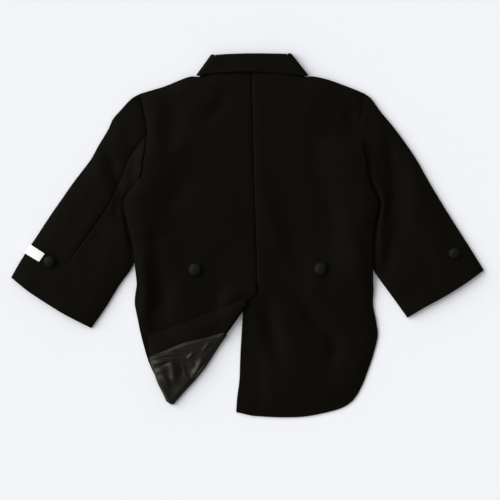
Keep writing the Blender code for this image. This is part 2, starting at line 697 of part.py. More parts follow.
def build_button(name, x, y, diameter, ground):
    """Domed cloth-covered button, spun round its shank."""
    shape = bmesh.new()
    radius = diameter / 2
    rings = []
    for reach, z in BUTTON_PROFILE:
        sides = BUTTON_SIDES if reach else 1
        ring = []
        for k in range(sides):
            angle = math.tau * k / sides
            spot = Vector((x + radius * reach * math.cos(angle), y + radius * reach * math.sin(angle),
                           ground + z * radius))
            ring.append(shape.verts.new(spot * MM))
        rings.append(ring)
    for lower, upper in zip(rings, rings[1:]):
        for k in range(BUTTON_SIDES):
            n = k + 1
            corners = [ring[place % len(ring)] for ring, place in ((lower, k), (lower, n), (upper, n),
                                                                  (upper, k))]
            shape.faces.new(list(dict.fromkeys(corners)))
    bmesh.ops.recalc_face_normals(shape, faces=shape.faces)
    add_object(name, shape, COVERED)


def main():
    """Clear the scene and build every piece."""
    for item in list(bpy.data.objects):
        bpy.data.objects.remove(item, do_unlink=True)
    build_back_left()
    build_back_right()
    build_front("front_left", LEFT_ARMHOLE, LEFT_SIDE, LEFT_FRONT_EDGE)
    build_front("front_right", RIGHT_ARMHOLE, RIGHT_SIDE, RIGHT_FRONT_EDGE)
    build_lapel("lapel_left", LEFT_LAPEL_EDGE, LEFT_FRONT_EDGE)
    build_lapel("lapel_right", RIGHT_LAPEL_EDGE, RIGHT_FRONT_EDGE)
    build_collar()
    left = Sleeve(LEFT_SLEEVE_HEAD, LEFT_SLEEVE_OUTER, LEFT_SLEEVE_INNER, LEFT_CUFF)
    right = Sleeve(RIGHT_SLEEVE_HEAD, RIGHT_SLEEVE_OUTER, RIGHT_SLEEVE_INNER, RIGHT_CUFF)
    build_sleeve(left, "left")
    build_sleeve(right, "right")
    build_label(left)
    build_flap_linings()
    sleeve_top = CLOTH / 2 + 2 * EDGE_RADIUS + SLEEVE_EASE
    for name, x, y, diameter in BUTTONS:
        ground = back_height(x, y) if "back" in name else sleeve_top
        build_button(name, x, y, diameter, ground + CLOTH / 2 + SEAM)


main()
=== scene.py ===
"""Looks of a baby's tailcoat for white tie, laid flat with its back up."""

import math
from bisect import bisect_right

import bmesh
import bpy
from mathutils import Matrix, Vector, noise


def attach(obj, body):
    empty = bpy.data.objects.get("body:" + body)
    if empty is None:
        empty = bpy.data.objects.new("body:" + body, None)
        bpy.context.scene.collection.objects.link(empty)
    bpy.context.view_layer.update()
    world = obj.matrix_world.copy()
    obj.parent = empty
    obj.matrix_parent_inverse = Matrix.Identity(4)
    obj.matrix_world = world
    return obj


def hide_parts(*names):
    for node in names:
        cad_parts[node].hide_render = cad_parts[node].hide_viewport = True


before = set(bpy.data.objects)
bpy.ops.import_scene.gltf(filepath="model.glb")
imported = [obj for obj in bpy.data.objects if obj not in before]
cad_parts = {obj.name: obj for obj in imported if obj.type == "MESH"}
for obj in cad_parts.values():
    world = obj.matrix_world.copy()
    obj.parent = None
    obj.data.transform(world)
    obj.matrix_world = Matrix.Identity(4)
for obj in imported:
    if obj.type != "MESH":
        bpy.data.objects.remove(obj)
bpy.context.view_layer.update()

bl_info = {
    "name": "Tailcoat laid flat",
    "version": (1, 0, 0),
    "blender": (4, 5, 0),
    "location": "View3D > Sidebar > Tailcoat",
    "description": "Builds the cloth, lining, buttons and label of a small tailcoat",
    "category": "Add Mesh",
}

# Tables and named sizes are in millimetres. The coat lies on z = 0 with its collar at +Y.
# Left and right are as seen from above.
MM = 0.001
BODY = "root"
WEAVE_MAP = "weave"
CREASE_SEED = 4      # fixes how the creases waver about their lines

CLOTH = 1.6          # wall of the wool cloth
THIN = 1.0           # wall of the lining, the facing and the label
SEAM = 0.3           # gap between a panel and what is sewn on it
SEWN = 0.03          # gap where two pieces are sewn edge to edge
LAYER = 0.5          # gap between cloth that lies on cloth
LAY = CLOTH + LAYER  # height that one more layer adds
ON_CLOTH = CLOTH / 2 + SEAM + THIN / 2   # from a panel's middle to that of a piece sewn on it
RIM_CRISPNESS = 0.6  # of a cloth's cut or turned edge, from 0 to 1
SEAM_DIP = 1.6       # depth of the groove at a sewn seam
FAINT_DIP = 0.12
ARMHOLE_DIP = 2.6    # the same at the left armhole
FAINT_ARMHOLE_DIP = 0.8
BODY_EASE = 3.0      # height that the back keeps over the fronts
BODY_ROUND = 18.0
TAIL_LOFT = 2.6      # of the right tail's middle over the surface
DRAPE = 26.0         # by which the back's slopes are wider than those of the fronts under it
SLEEVE_EASE = 2.7
SLEEVE_ROUND = 22.0
EDGE_RADIUS = 1.2    # of the fold along a sleeve's edge
SIDE_LIFT = 5.0      # of the body's side where it lies on the sleeve
CENTRE_X = 8.0
SHOULDER_Y = 156.0
UNDERARM_Y = 36.0
FLOOR_Y = (-132.0, -44.0)   # the tails come down to the surface between these levels
SEAM_WIDTH = 0.9     # half width of the groove at a sewn seam
PRESSED_WIDTH = 4.5  # and of the shallow dip beside it
PRESSED_SHARE = 0.35

# Where forms of the body come in. Columns: where a form is nothing, where it is whole
SIDE_LIFT_BELOW = (-64, -40)    # y
SIDE_LIFT_ABOVE = (116, 86)     # y
SIDE_LIFT_INSET = (46, 27)      # distance in from the side
OVER_LAPEL_X = (92, 78)         # distance from the centre
OVER_LAPEL_Y = (-8, 12)
OVER_UNDERLAP_X = (-34, -16)
OVER_UNDERLAP_Y = (-46, -61)
CENTRE_GROOVE_Y = (-66, -58)
ARMHOLE_GROOVE_Y = (40, 60)
DRAPE_FROM_SHOULDER = (2, 30)
FOLDS_FROM_SHOULDER = (0, 20)
LOFT_FROM_HEM = (0, 26)
LOFT_FROM_VENT_X = (10, 30)
CROWN_AT_SHOULDER = 0.1         # share of the back's ease that is left there

# Outlines of the back. Columns: x, y
CENTRE_SEAM = [(5, 184.5), (5, 160), (6.5, 94), (8, 39), (10, -16), (10.5, -62)]
LEFT_SHOULDER = [(-119, 156), (-104.5, 160), (-91.5, 164), (-73, 171.3), (-66, 174), (-61, 175.1),
                 (-57, 174.9), (-51.5, 174), (-46, 175), (-40, 178.2), (-30, 182), (-20, 184),
                 (5, 184.5)]
LEFT_ARMHOLE = [(-119, 156), (-115.5, 140.5), (-112, 125), (-111, 113), (-112.5, 94), (-116, 75.5),
                (-120, 63.5), (-127, 52), (-136.5, 38)]
LEFT_SIDE = [(-136.5, 38), (-133, 19.5), (-129, 3.5), (-125.5, -13.5), (-124, -30), (-122, -47),
             (-121.5, -54)]
LEFT_TAIL = [(-121.5, -54), (-123.7, -67), (-124, -76), (-120.5, -93.5), (-118, -106.5),
             (-111, -133), (-106, -146), (-99.2, -159.5), (-93, -171), (-87, -181.5)]
RIGHT_SHOULDER = [(5, 184.5), (30, 184), (40, 182), (50, 178.2), (56.5, 175), (62, 174),
                  (67.5, 174.9), (71.5, 175.1), (79.5, 173.6), (91.5, 170.5), (109.5, 164),
                  (128.5, 156.5)]
RIGHT_ARMHOLE = [(128.5, 156.5), (127, 140.5), (123, 120.5), (123, 98.5), (126.5, 82), (131, 68),
                 (137, 51), (144, 34)]
RIGHT_SIDE = [(144, 34), (140, 17), (137.5, 0), (137, -13.5), (137.5, -32.5), (138.5, -60)]
RIGHT_TAIL = [(138.5, -60), (138, -76.5), (141.5, -94), (143.5, -110), (138, -133), (128.5, -159.5),
              (122.5, -172.5), (116, -182)]
RIGHT_HEM = [(5, -198.6), (27.5, -200), (45, -200.3), (62.5, -199.5), (80, -196.5), (98, -192),
             (108, -187.8), (116, -182)]
CENTRE_TAIL = [(10.5, -62), (9, -110), (5, -198.6)]
UNDERLAP = [(-4.5, -64), (-5.5, -89.5), (-8, -133), (-9, -159.5), (-11.5, -179), (-12.5, -194.5)]
ARMHOLE_SHARE = 0.32   # of a back panel's rows, down to the underarm
WAIST_SHARE = 0.56     # down to the waist
SEAM_AT_UNDERARM = 0.55     # share of the centre seam that ends at the underarm
FRONT_ARMHOLE_SHARE = 0.55  # of a front's rows
LAPEL_ROLL = (0.12, 0.52)   # start and length of the roll line, as shares of the front's edge

# The left tail's fold, from the top of the vent to the tip, read along s and outwards along q
FOLD_TOP = (10.5, -62.0)
FOLD_TIP = (-83.0, -187.0)
FOLD_LENGTH = 156.0
FLAP_FIRST = 14.0    # s at which the cloth begins to roll over
FOLD_RADIUS = 1.6
FOLD_SETTLE = 14.0
FLAP_SWELL = 3.2     # of the flap's middle, where the flap is at least SWELL_WIDTH wide
SWELL_WIDTH = 50.0
SWELL_LEAN = 1.4     # by which the swell moves away from the fold towards the flap's tip
LEANING_S = (95, 140)
# Columns: s, q of the fold's outer edge
FOLD_EDGE = [(0, 0.5), (38, 2.0), (71, 2.4), (101, 4.6), (119, 3.9), (137, 1.9), (156, 0.6)]
# Columns: s, q of the flap's free edges, the vent edge and then the hem
FLAP_VENT = [(0, -2.0), (11, -4.0), (87.4, -52.6), (110.2, -68)]
FLAP_HEM = [(110.2, -68), (128, -52.3), (143.6, -30.6), (151, -16.2), (156, -7)]
FACING_INSET = 1.0   # of the facing from the flap's vent edge
FACING_END = 125.5
LINING_INSET = 1.6   # of the lining from the hem
LINING_SPAN = (57.5, 154.5)
LINING_LOFT = 1.3    # of the lining's middle over the flap
LOFT_EDGE = 3.5      # distance from the lining's edges within which it comes down
FLAP_GAP = 0.15      # added to the gap between the flap and what is sewn on it
# Columns: s, q of the seam between the facing and the satin lining
FACING_SEAM = [(56, -1.5), (62.6, -6.9), (70.4, -12.3), (92.4, -30.8), (128, -51.7)]

# Sleeves. The head's last points lie under the body. Columns: x, y
LEFT_SLEEVE_HEAD = [(-119.1, 156.3), (-115.6, 140.5), (-112.1, 125), (-111.1, 113), (-112.6, 94),
                    (-115, 78), (-115, 62), (-112, 47)]
LEFT_SLEEVE_OUTER = [(-119.1, 156.3), (-128, 151), (-140.5, 137.5), (-148.5, 128.5), (-153, 118),
                     (-165, 98), (-172, 85), (-182, 71.5), (-192, 58.5), (-206, 38.5),
                     (-219.5, 19), (-232.5, -1), (-250, -27.5), (-260.5, -46)]
LEFT_SLEEVE_INNER = [(-112, 47), (-117, 24), (-120, 4), (-121, -12), (-123, -24),
                     (-127.5, -36), (-140.5, -54), (-156.5, -80), (-172, -102)]
LEFT_CUFF = [(-260.5, -46), (-242.5, -60.5), (-223, -73.5), (-201, -87), (-172, -102)]
RIGHT_SLEEVE_HEAD = [(128.6, 156.8), (127.1, 140.5), (123.1, 120.5), (123.1, 98.5), (126.3, 82),
                     (127.5, 66), (125.5, 48)]
RIGHT_SLEEVE_OUTER = [(128.6, 156.8), (136, 151.5), (146, 137.5), (157, 124.5), (167.5, 111),
                      (185.5, 85), (200.5, 58.5), (220.5, 25.5), (245.5, -14), (260.5, -38)]
RIGHT_SLEEVE_INNER = [(125.5, 48), (129.5, 28), (132, 8), (133, -10), (135, -27), (140.5, -41),
                      (149.5, -54), (162, -71), (176, -90.5)]
RIGHT_CUFF = [(260.5, -38), (238, -54), (217, -67), (193.5, -80), (176, -90.5)]
ELBOW_SEAM = 0.42    # share of the sleeve's width from its outer edge
FRONT_SEAM = 0.62    # the same, on the side that lies down
EDGE_PROBE = 0.02    # step over which a sleeve's width is read at its edges
# Where forms of a sleeve come in. Columns: where a form is nothing, where it is whole
ELBOW_GROOVE_Y = (-48, 2)
SHOULDER_POINT = (0.06, 0.0)    # share of the width, where the edge's height is the sleeve's own
FREE_OF_HEAD = (0.0, 0.16)      # share of the length, where the body no longer holds the cloth
UNDERARM_LEVEL_Y = (34, 62)
PAST_ARMHOLE = (-4, -1)         # distance out from the body's side
CLEAR_OF_BODY = (1, 7)          # the same
CLEAR_ACROSS = (0.6, 0.42)      # share of the width

# Collar, seen from above. Columns: x, y
COLLAR_CREASE = [(-40.4, 198.8), (-26, 199.6), (1, 200.5), (30, 200.3), (48.4, 200)]
COLLAR_EDGE = [(-56.8, 176.2), (-38, 178.6), (2.5, 180), (46.5, 177.8), (67.3, 176.2)]
COLLAR_ENDS = (0.004, 0.996)   # shares of the crease between which the collar is folded
COLLAR_NECK_Y = 185.5
COLLAR_TOP = 8.4
COLLAR_DROP = 1.3    # of the fall's outer edge towards its ends
COLLAR_END_LEFT = ((-33, 152), (-60, 143))
COLLAR_END_RIGHT = ((43, 152), (71, 143))
COLLAR_ACROSS = [0, 0.08, 0.17, 0.28, 0.4, 0.52, 0.64, 0.76, 0.86, 0.93, 0.97, 1]
COLLAR_FOLDS = [(-38, 180, 16, 181, 5, 1.5), (-30, 196, -44, 182, 4, 0.35),
                (26, 198, 20, 184, 6, -0.3), (46, 197, 56, 182, 4, 0.3), (-12, 196, -8, 183, 6, 0.25)]

# Fronts and lapels under the back. Columns: x, y
LEFT_FRONT_EDGE = [(-52, 173), (-36, 150), (-14, 90), (2, 32), (6.5, 0), (7, -72)]
RIGHT_FRONT_EDGE = [(62, 173), (48, 150), (28, 90), (14, 32), (9.5, 0), (9, -72)]
LEFT_LAPEL_EDGE = [(-66, 139), (-61, 112), (-45, 75), (-22, 45), (1, 24)]
RIGHT_LAPEL_EDGE = [(78, 139), (73, 112), (58, 75), (36, 45), (15, 24)]

# Distance by which creases waver about their lines
CLOTH_WAVER, COLLAR_WAVER, SATIN_WAVER = 3.0, 1.5, 2.4
# Creases of the back and tails. Columns: x and y of both ends, half width, height
BACK_FOLDS = [(-100, -8, -94, -100, 12, -3.8), (-114, -30, -114, -98, 7, 2.0),
              (-92, 0, -112, -6, 9, -1.2), (-80, 148, -88, 96, 9, -1.5), (-104, 140, -101, 96, 8, 1.1),
              (-22, 154, -46, 122, 8, -1.2), (-40, 152, -62, 132, 7, 0.7),
              (30, 62, 50, 10, 13, -1.6), (50, 10, 58, -52, 13, -1.5), (22, -22, 48, -56, 10, -1.2),
              (44, 76, 68, 62, 7, 0.8), (14, 60, 34, -10, 9, 0.8),
              (58, -74, 98, -118, 9, -2.8), (98, -118, 90, -142, 9, -2.2), (22, -76, 34, -134, 8, -2.6),
              (78, -72, 112, -104, 8, 1.1), (40, -96, 60, -140, 9, 1.2), (8, -78, 14, -130, 7, 1.0),
              (8, -148, 7, -192, 6, -0.7), (112, 146, 122, 108, 9, -1.5), (98, 60, 122, -40, 10, 0.9)]
SLEEVE_FOLDS = [(156, 110, 163, 62, 8, -2.2), (163, 62, 160, 0, 9, -2.3), (160, 0, 153, -40, 8, -2.0),
                (174, 92, 174, 30, 9, -1.3), (172, 30, 170, -30, 10, -1.3),
                (138, 84, 149, 40, 5, 0.8), (149, 40, 145, -28, 5, 0.9),
                (-154, 92, -142, 56, 6, -2.0), (-141, 54, -141, 14, 6, -1.7),
                (-172, 92, -160, 58, 8, 1.2), (-150, 22, -176, -8, 8, -1.0), (-128, 62, -132, 26, 6, 0.9),
                (-168, 22, -190, -16, 8, 0.9), (180, 92, 188, 42, 8, 1.2), (174, 6, 200, -22, 10, -0.9),
                (214, 34, 236, -22, 12, -1.3), (176, -60, 190, -76, 8, -0.8)]
# Smaller creases, with the same columns
FINE_BACK_FOLDS = [(-46, 140, -62, 118, 7, -0.4), (-32, -66, -36, -78, 5, -0.8),
                   (-57, -30, -40, -6, 5, 0.35), (-60, -44, -78, -66, 6, 0.7),
                   (82, -30, 100, -4, 6, 0.5), (80, -44, 66, -72, 6, 0.5),
                   (-12, -58, -34, -92, 6, 0.5), (-4, -50, -40, -62, 6, -0.5),
                   (-66, 60, -96, 20, 10, -0.6), (-30, 70, -22, 10, 10, 0.4),
                   (84, 120, 70, 84, 10, -0.6), (100, 20, 92, -30, 7, -0.6), (70, 150, 60, 128, 8, 0.5)]
FINE_SLEEVE_FOLDS = [(-135, 126, -127, 100, 7, -0.6), (-188, 30, -170, 14, 7, -0.5),
                     (-148, -8, -160, -30, 6, 0.5), (-214, -52, -196, -84, 9, 0.6),
                     (-226, -20, -206, -34, 7, -0.5), (146, 128, 150, 112, 6, 0.6),
                     (172, 62, 182, 24, 8, 0.5), (232, -32, 214, -58, 9, 0.4),
                     (196, -4, 216, -40, 7, 0.7), (-122, 98, -134, 84, 5, -0.6)]
# Creases of the satin lining, with the same columns
SATIN_FOLDS = [(-107, -135, -76, -131, 1.5, 1.2), (-78, -128, -66, -132, 2.0, -1.3),
               (-66, -135, -60, -129, 1.6, 0.9), (-98, -137, -70, -136, 1.4, 0.9),
               (-104, -142, -90, -139, 1.4, 1.0), (-103, -147, -88, -141, 1.5, -1.1),
               (-100, -151, -90, -148, 1.6, 0.8), (-85, -141, -80, -160, 4.2, 2.2),
               (-94, -152, -86, -166, 3.0, 1.3), (-76, -142, -72, -152, 2.0, -0.9),
               (-50, -138, -59, -154, 3.2, 1.8), (-68, -147, -58, -158, 3.0, -1.6),
               (-94, -158, -68, -160, 4.5, 1.0), (-95, -164, -87, -182, 6.5, 1.3),
               (-48, -127, -42, -119, 2.0, 0.7), (-66, -139, -58, -143, 1.6, 0.8)]

# Covered buttons. Columns: node, x, y, diameter
BUTTONS = [("button_back_left", -57.5, -37.5, 14.6), ("button_back_right", 80.5, -36.5, 14.6),
           ("button_sleeve_left", -217.5, -28.5, 12.6), ("button_sleeve_right", 227.0, -19.5, 12.2)]
# Profile of a button of radius 1. Columns: radius, height
BUTTON_PROFILE = [(0, 0), (0.4, 0), (0.7, 0.06), (0.88, 0.15), (0.97, 0.25), (1, 0.36), (0.965, 0.48),
                  (0.87, 0.6), (0.72, 0.7), (0.52, 0.78), (0.3, 0.825), (0.12, 0.84), (0, 0.84)]
BUTTON_SIDES = 72
BUTTON_RINGS = 26
BUTTON_PLEATS = 15
BUTTON_GATHER = 0.03   # depth of the gathers, as a share of the radius

LABEL_SPAN = (0.83, 0.876)    # shares of the left sleeve's length
LABEL_REACH = 0.165           # share of its width, from the outer edge
LABEL_SLANT = 0.1             # share of the length that it rises over the whole width
LABEL_GAPS = [0, 0.4, 0.8, 1.2, 1.8, 2.8, 4.2]   # distances of its first points from the edge
LABEL_FLAT = 6                # distance at which its evenly spaced points begin

# Pieces under the back, which are left unrounded
COARSE = ("front_left", "front_right", "lapel_left", "lapel_right")

# Turn of each weave on its piece, in degrees
SLEEVE_GRAIN = (("left", -38), ("right", 40))
COLLAR_GRAIN = 90
FLAP_GRAIN = -17
LABEL_GRAIN = -28

STITCH_RISE = 0.05
FELL_LEAN = 35       # degrees, of the stitches of the lining
TACK_LEAN = 90       # and of the label
LABEL_MARGIN = 0.12  # share of the label's length that stays free of stitches at each end

# Finishes. Columns: roughness, shine, tint of the shine
WHITE = (1.0, 1.0, 1.0)
WOOL_TINT = (1.0, 0.88, 0.70)
WOOL_FINISH = (0.58, 0.041, WOOL_TINT)
BUTTON_FINISH = (0.48, 0.085, WOOL_TINT)
SATIN_FINISH = (0.34, 0.24, (1.0, 0.94, 0.76))
SATIN_ANISOTROPY = 0.35
RIBBON_FINISH = (0.75, 0.2, WHITE)
BLACK_THREAD_FINISH = (0.5, 0.3, WHITE)
WHITE_THREAD_FINISH = (0.6, 0.3, WHITE)
FLOOR_FINISH = (0.9, 0.1, WHITE)
# Unevenness of each colour. Columns: size of its spots in metres, amount
WOOL_SPOTS = (0.035, 0.14)
SATIN_SPOTS = (0.012, 0.2)
RIBBON_SPOTS = (0.004, 0.04)
FLOOR_SPOTS = (0.5, 0.004)
# Depths of the finest relief, in metres
TWILL_DEPTH = 0.00006
NAP_DEPTH = 0.00012
NAP_SCALE = 900.0
SATIN_CREASE_DEPTH = 0.0005
SATIN_CREASE_SCALE = (60, 150, 60)
SATIN_CREASE_TURN = 22   # degrees
SATIN_THREAD_DEPTH = 0.00001
RIBBON_DEPTHS = (0.00006, 0.00004)
BUTTON_WEAVE = 0.8       # spacing of the buttons' ribs, as a share of the coat's
# Waves of the wave texture per unit of length
STRAIGHT_BANDS = math.tau / 20
DIAGONAL_BANDS = math.tau / (10 * math.sqrt(2))

# Stage, in metres
FLOOR_SIZE = 3.0
FLOOR_GAP = 0.0003
ROOM_COLOUR = (0.98, 0.99, 1.0)
ROOM_STRENGTH = 0.66
ROOM_TILT = 0.85     # share by which the room is brighter on the key light's side
KEY_FROM = (-0.80, 0.30, 0.62)
KEY_STRENGTH = 2.6
KEY_ANGLE = 60
CAMERA_HEIGHT = 2.2
VIEW_WIDTH = 0.55
VIEW_LEVEL = 0.005
VIEW_CENTRE = (0.00275, -0.01584)


def ease(low, high, value, spread=0.0):
    """Smooth step from 0 at low to 1 at high, whose ends a spread moves apart."""
    away = math.copysign(spread, high - low)
    low, high = low - away, high + away
    share = min(max((value - low) / (high - low), 0.0), 1.0)
    return share * share * (3.0 - 2.0 * share)


def rounded(share):
    """Quarter round from 0 to 1, level from 1 onwards."""
    return 1.0 - (1.0 - min(max(share, 0.0), 1.0)) ** 2


def steps(count, start=0.0, end=1.0):
    """Evenly spaced values."""
    return [start + (end - start) * i / count for i in range(count + 1)]


def smooth(table):
    """Smooth curve through a table's points, read by the share of its length."""
    points = [Vector(row[:2]) for row in table]
    reach = [0.0]
    for start, end in zip(points, points[1:]):
        reach.append(reach[-1] + (end - start).length)

    def at(share):
        length = min(max(share, 0.0), 1.0) * reach[-1]
        k = min(max(bisect_right(reach, length) - 1, 0), len(points) - 2)
        span = reach[k + 1] - reach[k]
        t = (length - reach[k]) / span
        before, after = points[max(k - 1, 0)], points[min(k + 2, len(points) - 1)]
        a, b = points[k], points[k + 1]
        slope_a = (b - before) / (span + (a - before).length) * span
        slope_b = (after - a) / (span + (after - b).length) * span
        return (a * (2 * t**3 - 3 * t**2 + 1) + slope_a * (t**3 - 2 * t**2 + t)
                + b * (3 * t**2 - 2 * t**3) + slope_b * (t**3 - t**2))

    return at


def reading(table, key=0):
    """Straight reading of a table's other column where its key column reaches a value."""
    rows = sorted(table, key=lambda row: row[key])
    keys = [row[key] for row in rows]
    values = [row[1 - key] for row in rows]

    def at(value):
        k = bisect_right(keys, value)
        if k in (0, len(keys)):
            return values[min(k, len(keys) - 1)]
        share = (value - keys[k - 1]) / (keys[k] - keys[k - 1])
        return values[k - 1] + (values[k] - values[k - 1]) * share

    return at


LEFT_EDGE = reading(LEFT_ARMHOLE + LEFT_SIDE[1:] + LEFT_TAIL[1:], 1)
RIGHT_EDGE = reading(RIGHT_ARMHOLE + RIGHT_SIDE[1:] + RIGHT_TAIL[1:], 1)
SHOULDERS = reading(LEFT_SHOULDER + RIGHT_SHOULDER[1:])
SEAM_X = reading(CENTRE_SEAM, 1)
HEM_Y = reading(RIGHT_HEM)


def chain(*parts):
    """One curve from several, each given with the share at which it ends."""
    def at(share):
        start = 0.0
        for curve, end in parts:
            if share <= end or end == parts[-1][1]:
                return curve((share - start) / (end - start))
            start = end

    return at


def patch(left, right, top, bottom):
    """Surface in the plane between two side curves, bowed as the curves at its ends are."""
    def bow(curve, u):
        return curve(u) - (curve(0) * (1 - u) + curve(1) * u)

    def at(u, v):
        return left(v) * (1 - u) + right(v) * u + bow(top, u) * (1 - v) + bow(bottom, u) * v

    return at


def straight(start, end):
    """Straight edge between two points."""
    start, end = Vector(start), Vector(end)
    return lambda share: start + (end - start) * share


def creases(table, x, y, waver=CLOTH_WAVER):
    """Height of a table's soft uneven troughs and ridges at a point."""
    drift = noise.noise_vector(Vector((x, y, 0)) / 24) * waver
    spot = Vector((x + drift.x, y + drift.y))
    height = 0.0
    for x0, y0, x1, y1, width, rise in table:
        start, run = Vector((x0, y0)), Vector((x1 - x0, y1 - y0))
        away = spot - start
        share = min(max(away.dot(run) / run.length_squared, 0.0), 1.0)
        gap = (away - run * share).length / width
        if gap < 3:
            height += rise * math.exp(-gap * gap) * (1.15 - 0.6 * (2 * share - 1) ** 2)
    return height


def groove(distance, depth):
    """Dip of the cloth at a sewn seam."""
    narrow = math.exp(-(distance / SEAM_WIDTH) ** 2)
    wide = math.exp(-(distance / PRESSED_WIDTH) ** 2)
    return -depth * (narrow * (1 - PRESSED_SHARE) + wide * PRESSED_SHARE)


def inset(x, y):
    """Distance in from the body's side."""
    if x < CENTRE_X:
        return x - LEFT_EDGE(y)
    return RIGHT_EDGE(y) - x


def side_lift(x, y, spread=0.0):
    """Rise of the body's side over the sleeve's inner edge, its slopes widened by a spread."""
    along = ease(*SIDE_LIFT_BELOW, y, spread) * ease(*SIDE_LIFT_ABOVE, y)
    return SIDE_LIFT * along * ease(*SIDE_LIFT_INSET, inset(x, y), spread)


def front_height(x, y, spread=0.0):
    """Middle of a front, which lies on the surface and on its lapel."""
    lapel = ease(*OVER_LAPEL_X, abs(x - CENTRE_X), spread) * ease(*OVER_LAPEL_Y, y, spread)
    return CLOTH / 2 + LAY * lapel + side_lift(x, y, spread / 2)


def armhole_dip(x):
    """Depth of the groove at the armhole of the left or right sleeve."""
    return ARMHOLE_DIP if x < CENTRE_X else FAINT_ARMHOLE_DIP


def armhole_rise(y):
    """Share of the ease that the back keeps along its armhole."""
    share = (SHOULDER_Y - y) / (SHOULDER_Y - UNDERARM_Y)
    return math.sin(math.pi * min(max(share, 0.0), 1.0))


def back_height(x, y):
    """Middle of the back and tails."""
    from_shoulder = SHOULDERS(x) - y
    from_side = rounded(inset(x, y) / BODY_ROUND)
    full = 1.0 - (1.0 - from_side) * (1.0 - armhole_rise(y))
    worn = ease(*FLOOR_Y, y)
    crown = CROWN_AT_SHOULDER + (1 - CROWN_AT_SHOULDER) * rounded(from_shoulder / BODY_ROUND)
    loft = ease(*LOFT_FROM_HEM, y - HEM_Y(x)) * ease(*LOFT_FROM_VENT_X, x)
    free = worn * (LAY + BODY_EASE * full * crown) + TAIL_LOFT * (1 - worn) * from_side * loft
    fold = creases(BACK_FOLDS + FINE_BACK_FOLDS, x, y) * from_side
    fold *= ease(*FOLDS_FROM_SHOULDER, from_shoulder)
    seam = groove(x - SEAM_X(y), SEAM_DIP) * ease(*CENTRE_GROOVE_Y, y)
    seam += groove(inset(x, y), armhole_dip(x)) * ease(*ARMHOLE_GROOVE_Y, y)
    drape = DRAPE * ease(*DRAPE_FROM_SHOULDER, from_shoulder)
    return front_height(x, y, drape) + max(free + fold, 0.0) + seam


def left_back_height(x, y):
    """The same for the left side, which lies on the right tail's underlap below the seam."""
    over = ease(*OVER_UNDERLAP_X, x) * ease(*OVER_UNDERLAP_Y, y)
    return back_height(x, y) + (LAY + SEAM) * over


def drawn_in(curve, other, distance):
    """Curve moved square to itself towards another curve."""
    def at(share):
        before, after = curve(max(share - 0.01, 0.0)), curve(min(share + 0.01, 1.0))
        along = (after - before).normalized()
        side = Vector((-along.y, along.x))
        if side.dot(other(share) - curve(share)) < 0:
            side = -side
        return curve(share) + side * distance

    return at


class Sheet:
    """Points and faces of one piece of cloth. Grids that meet along an edge share its points."""

    def __init__(self):
        self.points = []
        self.faces = []
        self.known = {}

    def index(self, point):
        """Number of a point, which is added the first time."""
        key = tuple(round(value, 3) for value in point)
        if key not in self.known:
            self.known[key] = len(self.points)
            self.points.append(Vector(point))
        return self.known[key]

    def grid(self, rows):
        """Faces between rows of points."""
        numbers = [[self.index(point) for point in row] for row in rows]
        for upper, lower in zip(numbers, numbers[1:]):
            for j in range(len(upper) - 1):
                self.faces.append((upper[j], lower[j], lower[j + 1], upper[j + 1]))

    def wall(self, thickness):
        """Closed wall: the sheet moved both ways along its normals, with a rim."""
        sheet = bmesh.new()
        verts = [sheet.verts.new(point) for point in self.points]
        for face in self.faces:
            sheet.faces.new([verts[number] for number in face])
        sheet.normal_update()
        solid = bmesh.new()
        crisp = solid.edges.layers.float.new("crease_edge")
        half = thickness / 2
        above = {vert: solid.verts.new((vert.co + vert.normal * half) * MM) for vert in verts}
        below = {vert: solid.verts.new((vert.co - vert.normal * half) * MM) for vert in verts}
        for face in sheet.faces:
            solid.faces.new([above[vert] for vert in face.verts])
            solid.faces.new([below[vert] for vert in reversed(face.verts)])
        for edge in sheet.edges:
            if edge.is_boundary:
                loop = edge.link_loops[0]
                a, b = loop.vert, loop.link_loop_next.vert
                rim = solid.faces.new((above[b], above[a], below[a], below[b]))
                for number in (0, 2):
                    rim.edges[number][crisp] = RIM_CRISPNESS
        sheet.free()
        bmesh.ops.recalc_face_normals(solid, faces=solid.faces)
        return solid


def lifted(plan, height, columns, rows):
    """Rows of points on a patch of the plane, raised by a height function."""
    made = []
    for v in rows:
        flat = [plan(u, v) for u in columns]
        made.append([Vector((p.x, p.y, height(p.x, p.y))) for p in flat])
    return made


def fold_frame():
    """Top of the fold, its direction down the tail and its direction outwards."""
    top, tip = Vector(FOLD_TOP), Vector(FOLD_TIP)
    along = (tip - top).normalized()
    return top, along, Vector((-along.y, along.x))


FOLD_Q = reading(FOLD_EDGE)
FACING_Q = reading(FACING_SEAM)
VENT_Q = reading(FLAP_VENT)
HEM_Q = reading(FLAP_HEM)


def fold_start(s):
    """Outward place at which the cloth starts to roll over, which leaves the seam at s = 0."""
    whole = FOLD_Q(max(s, FLAP_FIRST)) - FOLD_RADIUS - CLOTH / 2 - SEAM - THIN
    return whole * min(s / FLAP_FIRST, 1.0)


